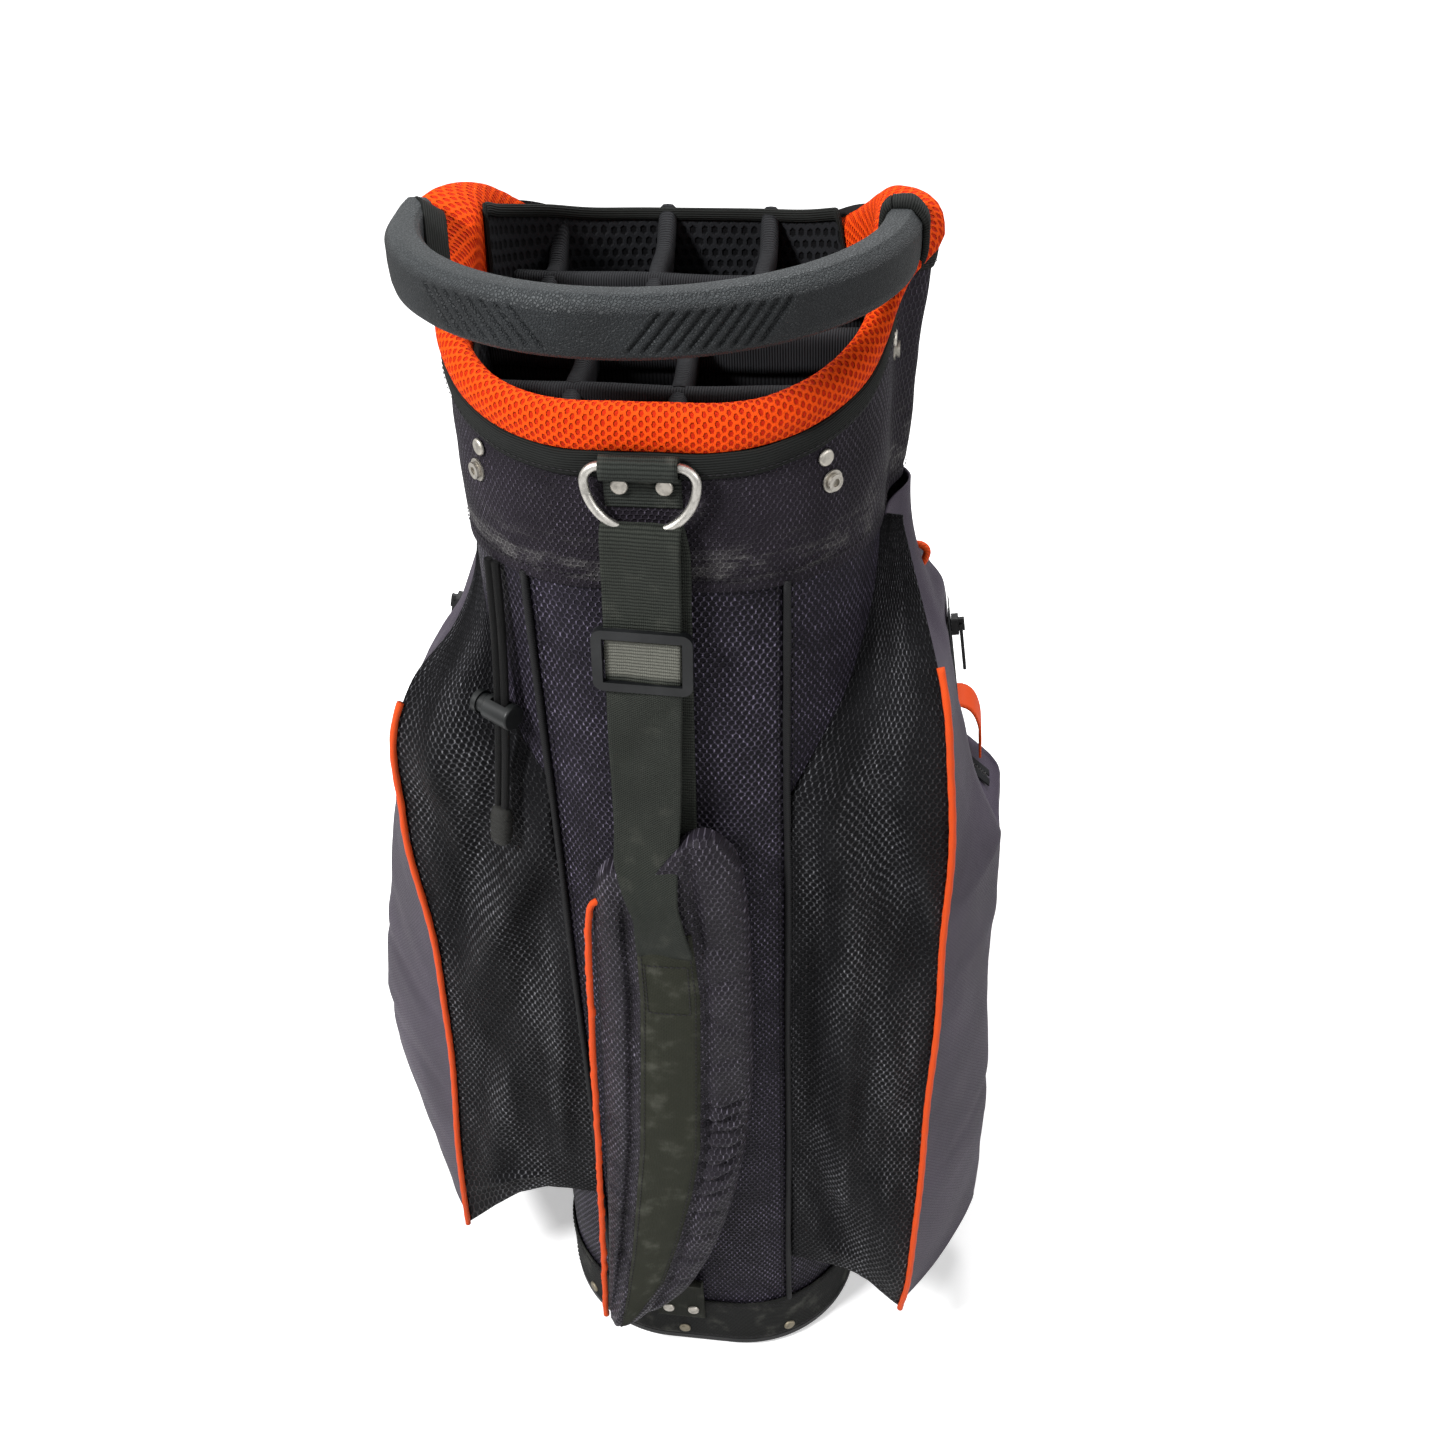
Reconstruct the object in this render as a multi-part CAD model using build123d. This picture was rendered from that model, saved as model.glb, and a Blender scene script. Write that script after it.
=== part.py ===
"""Golf cart bag: a fabric tube on a moulded base, with a 14-way top, a moulded handle, pockets and a strap.

Millimetres. The origin is the middle of the base on the ground, +Z is up, -Y is the spine (the strap side)
and +X is the right side seen from the spine. A heading is an angle round the tube from the spine, in degrees,
positive towards +X.
"""

from build123d import *
from math import atan2, cos, degrees, hypot, radians, sin, sqrt
import os

# --- driving dimensions -------------------------------------------------------------------------------------
TUBE_HALF_X = 118.0        # outside of the fabric tube, half width
TUBE_HALF_Y = 116.0        # outside of the fabric tube, half depth
TUBE_CORNER = 92.0         # outside corner radius of the tube
FABRIC = 2.0               # thickness of the backed fabric panels
TUBE_TOP = 765.0           # top edge of the tube panels, hidden under the cuff
FIT = 0.3                  # gap between pieces that lie against each other

FOOT_HEIGHT = 5.0
FOOT_RADIUS = 13.0
FOOT_HEADINGS = (45, 135, 225, 315)
CUP_FLOOR = 4.0
CUP_WALL = 3.0
CUP_HEIGHT = 52.0
CUP_LIP = 5.0
BAND_THICKNESS = 1.8
BAND_TOP = 60.0
RIVET_RADIUS = 4.6
RIVET_HEAD = 1.8
RIVET_SHANK = 1.6
BASE_RIVET_HEIGHT = 20.0
BASE_RIVET_COUNT = 9

SPINE_SEAM = 34.0          # heading of the two seams beside the spine panel
FRONT_SEAM = 128.0         # heading of the two seams beside the front panel
PIPING_RADIUS = 2.2

CUFF_BOTTOM = 721.0
CUFF_THICKNESS = 2.2
BINDING_DROP = 12.0
BINDING_THICKNESS = 1.4
FRAME_WALL = 2.5
FRAME_BOTTOM = 735.0
FRAME_COVER = 13.0         # depth of padding over the top of the collar frame
PAD_WALL = 4.0
PAD_LAP = 2.4
SNAP_HEADINGS = (46, 90, 140)
SNAP_DROP = 36.0
COLLAR_RIVET_HEADINGS = (44, 84)
COLLAR_RIVET_DROP = 20.0

EDGE_CURVE = [(-150, 797), (-124, 798), (-100, 806), (-57, 825), (0, 845), (50, 848), (105, 838), (150, 832)]
CREST_CURVE = [(-150, 822), (-110, 825), (-75, 838), (-35, 855), (10, 874), (50, 882), (85, 872), (112, 852),
               (150, 846)]

WELL_ROW = 52.0            # distance between the cross bars of the divider
RIB_OFFSET = -19.0         # middle of the ribs, left of the middle of the bag
BACK_RIB_PITCH = 62.0
NEAR_RIB_PITCH = 57.0
BAR_WIDTH = 9.0
BAR_DEPTH = 22.0
SHEET = 1.5
BAR_TOP_MIDDLE = 819.0
BAR_TOP_SLOPE = 0.22       # rise of the divider top towards the far side, per millimetre

STAY_RADIUS = 3.0
STAY_HEADINGS = (97, 180, 263)

HANDLE_RADIUS = 130.0      # middle line of the handle, an arc
HANDLE_CENTRE = (-7.0, -6.0)
HANDLE_WIDTH = 19.0
HANDLE_HEIGHT = 30.0
HANDLE_MIDDLE = 873.0
HANDLE_HALF_ARC = 92.0
HANDLE_CORE = 8.0
LUG_LENGTH = 26.0
LUG_HEIGHT = 34.0
LUG_DROP = 9.0             # middle of the lug below the middle of the handle
LUG_GAP = 1.0
SCREW_DROP = 19.0          # screws below the middle of the handle
SCREW_RADIUS = 2.0
CORE_REACH = 7.0           # how far the handle's core runs into each lug, in degrees
WASHER_GAP = 0.25          # room for a flat washer against the curved inner wall

RING_WIRE = 2.5
RING_WIDTH = 60.0
RING_DROP = 42.0
RING_CORNER = 9.0
RING_AXIS_Z = 796.0
WEB_WIDTH = 42.0
WEB = 1.6
TAB_DROP = 24.0
TAB_RIVET_PITCH = 23.0
STRAP_LEAN = 2.0
LOOP_LENGTH = 26.0
SLIDER_WIDTH = 55.0
SLIDER_HEIGHT = 39.0
SLIDER_RAIL = 5.0
SLIDER_BAR = 5.5
SLIDER_MIDDLE = 684.0
PAD_THICKNESS = 19.0
PAD_TOP = 545.0
TAIL_X = -14.0

LOCK_RADIUS = 8.0
LOCK_LENGTH = 21.0
PLUNGER_TRAVEL = 2.0
CORD_RADIUS = 2.5
KNOT_LENGTH = 30.0

POUCH_SLOPE = 42.0
POUCH_ZIP_X = 162.0
POUCH_ZIP_Z = 448.0
POUCH_ZIP_LENGTH = 112.0
ZIP_WIDTH = 26.0
TAPE = 0.9
TEETH_WIDTH = 6.0
TEETH = 1.8
ZIP_SLIDER = (10.0, 13.0, 4.5)
PULL = (7.0, 30.0, 2.0)
PULL_LIFT = 1.35           # pull pin above the slider body

parts = {}


def keep(name, shape):
    """Adds one sub-part, as a compound of its solids."""
    parts[name] = Compound(children=[Solid(s.wrapped) for s in shape.solids()])


# --- the tube's outline -------------------------------------------------------------------------------------
def outline(grow):
    """The tube's outline, moved outwards by grow."""
    return RectangleRounded(2 * (TUBE_HALF_X + grow), 2 * (TUBE_HALF_Y + grow), TUBE_CORNER + grow)


def block(grow, low, high):
    return Pos(0, 0, low) * extrude(outline(grow), high - low)


def ring(inner, outer, low, high):
    return block(outer, low, high) - block(inner, low - 1, high + 1)


def wall_point(heading, grow):
    """The point of the outline at a heading, and the heading of the outward normal there."""
    dx, dy = sin(radians(heading)), -cos(radians(heading))
    half_x, half_y, corner = TUBE_HALF_X + grow, TUBE_HALF_Y + grow, TUBE_CORNER + grow
    flat_x, flat_y = half_x - corner, half_y - corner
    if abs(dx) > 1e-9 and abs(dy / dx) * half_x <= flat_y:
        return (half_x if dx > 0 else -half_x), dy / abs(dx) * half_x, 90 if dx > 0 else -90
    if abs(dy) > 1e-9 and abs(dx / dy) * half_y <= flat_x:
        return dx / abs(dy) * half_y, (half_y if dy > 0 else -half_y), 180 if dy > 0 else 0
    cx, cy = (flat_x if dx > 0 else -flat_x), (flat_y if dy > 0 else -flat_y)
    along = dx * cx + dy * cy
    reach = along + sqrt(along * along - cx * cx - cy * cy + corner * corner)
    x, y = dx * reach, dy * reach
    return x, y, degrees(atan2(x - cx, -(y - cy)))


def on_wall(heading, z, grow):
    """A location on the outline whose local -Y is the outward normal and local Z is up."""
    x, y, normal = wall_point(heading, grow)
    return Pos(x, y, z) * Rot(0, 0, normal)


def below(curve):
    """Everything under a curve of height against y."""
    points = [(y, z) for y, z in curve]
    edge = Spline(*points)
    first, last = points[0], points[-1]
    rest = Polyline(last, (last[0], 0), (first[0], 0), first)
    face = make_face(Curve() + [edge, rest])
    return extrude(Plane.YZ * face, 200, both=True)


def height_at(curve, y):
    """The height of a curve at y, taken straight between its points."""
    for (y0, z0), (y1, z1) in zip(curve, curve[1:]):
        if y0 <= y <= y1:
            return z0 + (z1 - z0) * (y - y0) / (y1 - y0)
    raise ValueError(y)


def outwards(radius, depth, out=0.0):
    """A cylinder along the local -Y, from y = -out inwards by depth."""
    return Pos(0, -out + depth / 2, 0) * Rot(90, 0, 0) * Cylinder(radius, depth)


def rivet(depth):
    """A domed rivet whose head stands outside the local origin and whose shank runs inwards, with a washer."""
    head = Pos(0, 0, 0) * Rot(90, 0, 0) * Pos(0, 0, RIVET_HEAD / 2) * Cylinder(RIVET_RADIUS, RIVET_HEAD)
    head = fillet(head.edges().filter_by(GeomType.CIRCLE).sort_by(Axis.Y)[0], RIVET_HEAD * 0.8)
    inside = depth + WASHER_GAP
    return head + outwards(RIVET_SHANK, inside) + Pos(0, inside, 0) * outwards(RIVET_RADIUS, 1.0)


BELOW_EDGE = below(EDGE_CURVE)
BELOW_CREST = below(CREST_CURVE)


def lowered(tool, drop):
    return Pos(0, 0, -drop) * tool


# --- base ---------------------------------------------------------------------------------------------------
def base_rivet_headings():
    return [-6 + 360 / BASE_RIVET_COUNT * i for i in range(BASE_RIVET_COUNT)]


def base_rivet_spots(grow):
    return [on_wall(h, BASE_RIVET_HEIGHT, grow) for h in base_rivet_headings()]


CUP_OUT = -FABRIC - FIT
LIP_TOP = FOOT_HEIGHT + CUP_LIP
BAND_OUT = FIT + BAND_THICKNESS


def base():
    cup = block(BAND_OUT, FOOT_HEIGHT, LIP_TOP) + block(CUP_OUT, FOOT_HEIGHT, FOOT_HEIGHT + CUP_HEIGHT)
    cup -= block(CUP_OUT - CUP_WALL, FOOT_HEIGHT + CUP_FLOOR, FOOT_HEIGHT + CUP_HEIGHT + 1)
    foot_spots = [Rot(0, 0, h) * Pos(0, -TUBE_HALF_Y + 28, 0) for h in FOOT_HEADINGS]
    for spot in foot_spots:
        cup -= spot * Pos(0, 0, FOOT_HEIGHT + CUP_FLOOR / 2) * Cylinder(3.2, CUP_FLOOR + 1)
    band = ring(FIT, BAND_OUT, LIP_TOP + FIT, BAND_TOP)
    rivets = []
    depth = BAND_OUT - CUP_OUT + CUP_WALL
    for spot in base_rivet_spots(BAND_OUT):
        hole = spot * outwards(RIVET_SHANK + 0.1, depth + 4, 2)
        cup -= hole
        band -= hole
        rivets.append(spot * Pos(0, 0, 0) * rivet(depth))
    feet = []
    for spot in foot_spots:
        foot = Cylinder(FOOT_RADIUS, FOOT_HEIGHT, align=(Align.CENTER, Align.CENTER, Align.MIN))
        foot = fillet(foot.edges().sort_by(Axis.Z)[0], 1.5)
        foot += Pos(0, 0, FOOT_HEIGHT - 0.5) * Cylinder(3.0, CUP_FLOOR, align=(Align.CENTER, Align.CENTER, Align.MIN))
        feet.append(spot * foot)
    keep("base_cup", cup)
    keep("base_band", band)
    keep("base_rivets", Compound(children=rivets))
    keep("base_feet", Compound(children=feet))


# --- tube ---------------------------------------------------------------------------------------------------
def sector(first, last):
    """A wedge about the bag's axis between two headings, tall enough for the whole tube."""
    reach = 400
    turns = [first + (last - first) * i / 4 for i in range(5)]
    points = [(0, 0)] + [(reach * sin(radians(h)), -reach * cos(radians(h))) for h in turns]
    return Pos(0, 0, -10) * extrude(make_face(Polyline(*points, close=True)), 1000)


def tube():
    shell = ring(-FABRIC, 0, LIP_TOP + FIT, TUBE_TOP)
    for spot in base_rivet_spots(BAND_OUT):
        shell -= spot * outwards(RIVET_SHANK + 0.1, 12, 2)
    seams = (-FRONT_SEAM, -SPINE_SEAM, SPINE_SEAM, FRONT_SEAM)
    piping = []
    for heading in seams:
        x, y, _ = wall_point(heading, 0)
        low = BAND_TOP + FIT
        shell -= Pos(x, y, 500) * Cylinder(PIPING_RADIUS + 0.1, 1000)
        cord = Pos(x, y, low) * Cylinder(PIPING_RADIUS, CUFF_BOTTOM - FIT - low,
                                         align=(Align.CENTER, Align.CENTER, Align.MIN))
        piping.append(cord)
    keep("spine_panel", shell & sector(-SPINE_SEAM, SPINE_SEAM))
    keep("right_panel", shell & sector(SPINE_SEAM, FRONT_SEAM))
    keep("left_panel", shell & sector(-FRONT_SEAM, -SPINE_SEAM))
    keep("front_panel", shell & sector(FRONT_SEAM, 360 - FRONT_SEAM))
    keep("seam_piping", Compound(children=piping))


# --- collar -------------------------------------------------------------------------------------------------
FRAME_OUT = -FABRIC - FIT
FRAME_IN = FRAME_OUT - FRAME_WALL
PAD_IN = FRAME_IN - FIT - PAD_WALL
CUFF_IN = FIT
CUFF_OUT = CUFF_IN + CUFF_THICKNESS
BINDING_OUT = CUFF_OUT + BINDING_THICKNESS


def collar_rivet_spots():
    spots = []
    for heading in COLLAR_RIVET_HEADINGS:
        for side in (-1, 1):
            _, y, _ = wall_point(heading, CUFF_OUT)
            spots.append(on_wall(side * heading, height_at(EDGE_CURVE, y) - COLLAR_RIVET_DROP, CUFF_OUT))
    return spots


def snap_spots():
    spots = []
    for heading in SNAP_HEADINGS:
        for side in (-1, 1):
            _, y, _ = wall_point(heading, CUFF_OUT)
            spots.append(on_wall(side * heading, height_at(EDGE_CURVE, y) - SNAP_DROP, CUFF_OUT))
    return spots


def tab_rivet_spots():
    z = RING_AXIS_Z - TAB_DROP / 2 - 1
    tab_out = CUFF_OUT + FIT + WEB
    return [Pos(side * TAB_RIVET_PITCH / 2, -TUBE_HALF_Y - tab_out, z) for side in (-1, 1)]


def collar():
    frame = ring(FRAME_IN, FRAME_OUT, FRAME_BOTTOM, 900) & lowered(BELOW_CREST, FRAME_COVER)
    cuff = ring(CUFF_IN, CUFF_OUT, CUFF_BOTTOM, 900) & lowered(BELOW_EDGE, FIT)
    binding = (ring(CUFF_OUT + FIT, CUFF_OUT + FIT + BINDING_THICKNESS, 700, 900) & BELOW_EDGE)
    binding -= lowered(BELOW_EDGE, BINDING_DROP)
    pad = (block(PAD_LAP, 700, 900) - BELOW_EDGE) + block(FRAME_IN - FIT, FRAME_BOTTOM, 900)
    pad -= lowered(BELOW_EDGE, -FIT) & ring(FRAME_IN - FIT, PAD_LAP + 9, 690, 900)
    pad -= block(PAD_IN, 690, 910)
    pad &= BELOW_CREST
    pad -= ring(FRAME_IN - FIT, FRAME_OUT + FIT, 690, 900) & lowered(BELOW_CREST, FRAME_COVER - FIT)
    depth = CUFF_OUT - FRAME_IN
    rivets = []
    for spot in collar_rivet_spots():
        tool = spot * outwards(RIVET_SHANK + 0.1, depth + 4, 2)
        frame -= tool
        cuff -= tool
        pad -= spot * Pos(0, depth, 0) * outwards(RIVET_RADIUS + 0.2, 1.6)
        rivets.append(spot * rivet(depth))
    for spot in tab_rivet_spots():
        tool = spot * outwards(RIVET_SHANK + 0.1, depth + 6, 2)
        frame -= tool
        cuff -= tool
        pad -= spot * Pos(0, depth + FIT + WEB, 0) * outwards(RIVET_RADIUS + 0.2, 1.6)
    snaps = []
    for spot in snap_spots():
        stud = outwards(6.2, 1.0, 1.0) + outwards(4.0, 3.4, 3.4) + outwards(4.6, 1.4, 3.4)
        inside = depth + WASHER_GAP
        stud += outwards(RIVET_SHANK, inside) + Pos(0, inside, 0) * outwards(RIVET_RADIUS, 1.0)
        stud -= outwards(2.2, 2.0, 3.6)
        tool = spot * outwards(RIVET_SHANK + 0.1, depth + 4, 2)
        frame -= tool
        cuff -= tool
        pad -= spot * Pos(0, depth, 0) * outwards(RIVET_RADIUS + 0.2, 1.6)
        snaps.append(spot * stud)
    pad -= handle_bar(HANDLE_WIDTH + 2 * FIT, HANDLE_HEIGHT + 2 * FIT, 7 + FIT, HANDLE_HALF_ARC)
    pad -= handle_bar(HANDLE_CORE + 2 * FIT, HANDLE_HEIGHT - 12 + 2 * FIT, 3 + FIT, HANDLE_HALF_ARC + CORE_REACH)
    for side in (-1, 1):
        room = handle_lug(side, FIT)
        pad -= room
        cuff -= room
        frame -= handle_screws(side, 0.1)
        pad -= handle_screws(side, 0.3)
        binding -= room
    keep("collar_frame", frame)
    keep("cuff", cuff)
    keep("cuff_binding", binding)
    keep("collar_pad", pad)
    keep("collar_rivets", Compound(children=rivets))
    keep("snap_studs", Compound(children=snaps))


# --- divider ------------------------------------------------------------------------------------------------
def bar_top(y):
    return BAR_TOP_MIDDLE + BAR_TOP_SLOPE * y


def well_layout():
    """Rows from the far side to the spine: each is (low y, high y, rib places)."""
    reach = TUBE_HALF_Y + PAD_IN
    back = [RIB_OFFSET + BACK_RIB_PITCH * i for i in (-1, 0, 1)]
    near = [RIB_OFFSET + NEAR_RIB_PITCH * (i + 0.5) for i in (-1, 0)]
    return [(WELL_ROW, reach, back), (0, WELL_ROW, back), (-WELL_ROW, 0, near), (-reach, -WELL_ROW, near)]


def divider():
    """Padded bars at the top, and full-length sheets under them. The sheets stop at the inside of the pad."""
    inside = block(PAD_IN - FIT, 0, 900)
    sheet_low = FOOT_HEIGHT + CUP_FLOOR + FIT
    bars, sheets = [], []
    tilt = degrees(atan2(BAR_TOP_SLOPE, 1))
    for y in (-WELL_ROW, 0, WELL_ROW):
        top = bar_top(y)
        bar = Pos(0, y, top - BAR_DEPTH / 2) * Box(300, BAR_WIDTH, BAR_DEPTH)
        bar = fillet(bar.edges().filter_by(Axis.X).group_by(Axis.Z)[-1], BAR_WIDTH * 0.45)
        bars.append(bar & inside)
        high = top - BAR_DEPTH - FIT
        sheet = Pos(0, y, (sheet_low + high) / 2) * Box(300, SHEET, high - sheet_low)
        sheets.append(sheet & inside)
    for low, high, ribs in well_layout():
        first = low + BAR_WIDTH / 2 if abs(low) <= WELL_ROW else low - 5
        last = high - BAR_WIDTH / 2 if abs(high) <= WELL_ROW else high + 5
        middle = (first + last) / 2
        for x in ribs:
            length = hypot(last - first, BAR_TOP_SLOPE * (last - first))
            rib = Rot(tilt, 0, 0) * Pos(0, 0, -BAR_DEPTH / 2) * Box(BAR_WIDTH, length + 20, BAR_DEPTH)
            rib = fillet(rib.edges().group_by(SortBy.LENGTH)[-1].group_by(Axis.Z)[-1], BAR_WIDTH * 0.45)
            rib = Pos(x, middle, bar_top(middle)) * rib
            slab = Pos(x, middle, 500) * Box(BAR_WIDTH + 2, last - first - 2 * FIT, 1000)
            bars.append(rib & slab & inside)
            top = min(bar_top(first), bar_top(last)) - BAR_DEPTH - 2
            near, far = low + SHEET / 2 + FIT, high - SHEET / 2 - FIT
            near = near if abs(low) <= WELL_ROW else low - 5
            far = far if abs(high) <= WELL_ROW else high + 5
            sheet = Pos(x, (near + far) / 2, (sheet_low + top) / 2) * Box(SHEET, far - near, top - sheet_low)
            sheets.append(sheet & inside)
    keep("divider_bars", Compound(children=bars))
    keep("divider_sheets", Compound(children=sheets))


def stays():
    low = FOOT_HEIGHT + CUP_FLOOR + FIT
    rods = []
    for heading in STAY_HEADINGS:
        x, y, _ = wall_point(heading, CUP_OUT - CUP_WALL - STAY_RADIUS - FIT)
        rod = Pos(x, y, low) * Cylinder(STAY_RADIUS, FRAME_BOTTOM - FIT - low,
                                        align=(Align.CENTER, Align.CENTER, Align.MIN))
        rods.append(rod)
    keep("support_stays", Compound(children=rods))


# --- handle -------------------------------------------------------------------------------------------------
def handle_end(side):
    """The middle of the handle's cut end."""
    turn = radians(HANDLE_HALF_ARC)
    return HANDLE_CENTRE[0] + side * HANDLE_RADIUS * sin(turn), HANDLE_CENTRE[1] - HANDLE_RADIUS * cos(turn)


def handle_lug(side, grow=0.0):
    """The end block: it carries the handle and sits on the outside of the collar frame."""
    x, y = handle_end(side)
    inner = TUBE_HALF_X + FRAME_OUT + FIT - grow
    outer = abs(x) + HANDLE_WIDTH / 2
    size = Box(outer - inner, LUG_LENGTH + 2 * grow, LUG_HEIGHT + 2 * grow)
    return Pos(side * (inner + outer) / 2, y + LUG_LENGTH / 2 + LUG_GAP, HANDLE_MIDDLE - LUG_DROP) * size


def handle_screws(side, grow=0.0):
    x, y = handle_end(side)
    inner = TUBE_HALF_X + FRAME_IN - 1.0
    outer = abs(x) + HANDLE_WIDTH / 2 - 3
    screws = []
    for step in (-1, 1):
        spot = Pos(side * (inner + outer) / 2, y + LUG_LENGTH / 2 + LUG_GAP + step * 7, HANDLE_MIDDLE - SCREW_DROP)
        shank = spot * Rot(0, 90, 0) * Cylinder(SCREW_RADIUS + grow, outer - inner)
        head = Pos(side * (outer - 1.5), y + LUG_LENGTH / 2 + LUG_GAP + step * 7, HANDLE_MIDDLE - SCREW_DROP)
        screws += [shank + head * Rot(0, 90, 0) * Cylinder(4.0 + grow, 3.0)]
    return Compound(children=screws)


def handle_bar(width, height, corner, half_arc):
    """The arc of the handle with one section."""
    face = Plane.XZ * Pos(HANDLE_RADIUS, HANDLE_MIDDLE) * RectangleRounded(width, height, corner)
    return Pos(*HANDLE_CENTRE, 0) * Rot(0, 0, -90 - half_arc) * revolve(face, Axis.Z, 2 * half_arc)


def handle():
    grip = handle_bar(HANDLE_WIDTH, HANDLE_HEIGHT, 7, HANDLE_HALF_ARC)
    core = handle_bar(HANDLE_CORE, HANDLE_HEIGHT - 12, 3, HANDLE_HALF_ARC + CORE_REACH)
    keep("handle_grip", grip - core)
    keep("handle_core", core)
    lugs, screws = [], []
    for side in (-1, 1):
        lug = fillet(handle_lug(side).edges().filter_by(Axis.Y), 2.5)
        lugs.append(lug - core - handle_screws(side, 0.1))
        screws.append(handle_screws(side))
    keep("handle_lugs", Compound(children=lugs))
    keep("handle_screws", Compound(children=screws))


# --- strap --------------------------------------------------------------------------------------------------
RING_Y = -(TUBE_HALF_Y + CUFF_OUT + FIT + BINDING_THICKNESS + FIT + WEB + RING_WIRE)


def ring_solid(wire):
    """The D ring, hanging from its straight bar, with wire as its wire's radius."""
    half = RING_WIDTH / 2 - RING_WIRE
    low = -(RING_DROP - 2 * RING_WIRE)
    edge = Line((-half, 0), (half, 0))
    bow = ThreePointArc((half, 0), (0, low), (-half, 0))
    face = fillet(make_face(Curve() + [edge, bow]).vertices(), RING_CORNER)
    path = (Pos(0, RING_Y, RING_AXIS_Z) * Plane.XZ.location * face).wires()[0]
    start = path.location_at(0)
    return sweep(Plane(origin=start.position, z_dir=path.tangent_at(0)) * Circle(wire), path)


def leaning(shape):
    """Leans a piece of the strap about the D ring's middle."""
    hang = Pos(0, RING_Y, RING_AXIS_Z)
    return hang * Rot(0, STRAP_LEAN, 0) * hang.inverse() * shape


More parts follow.
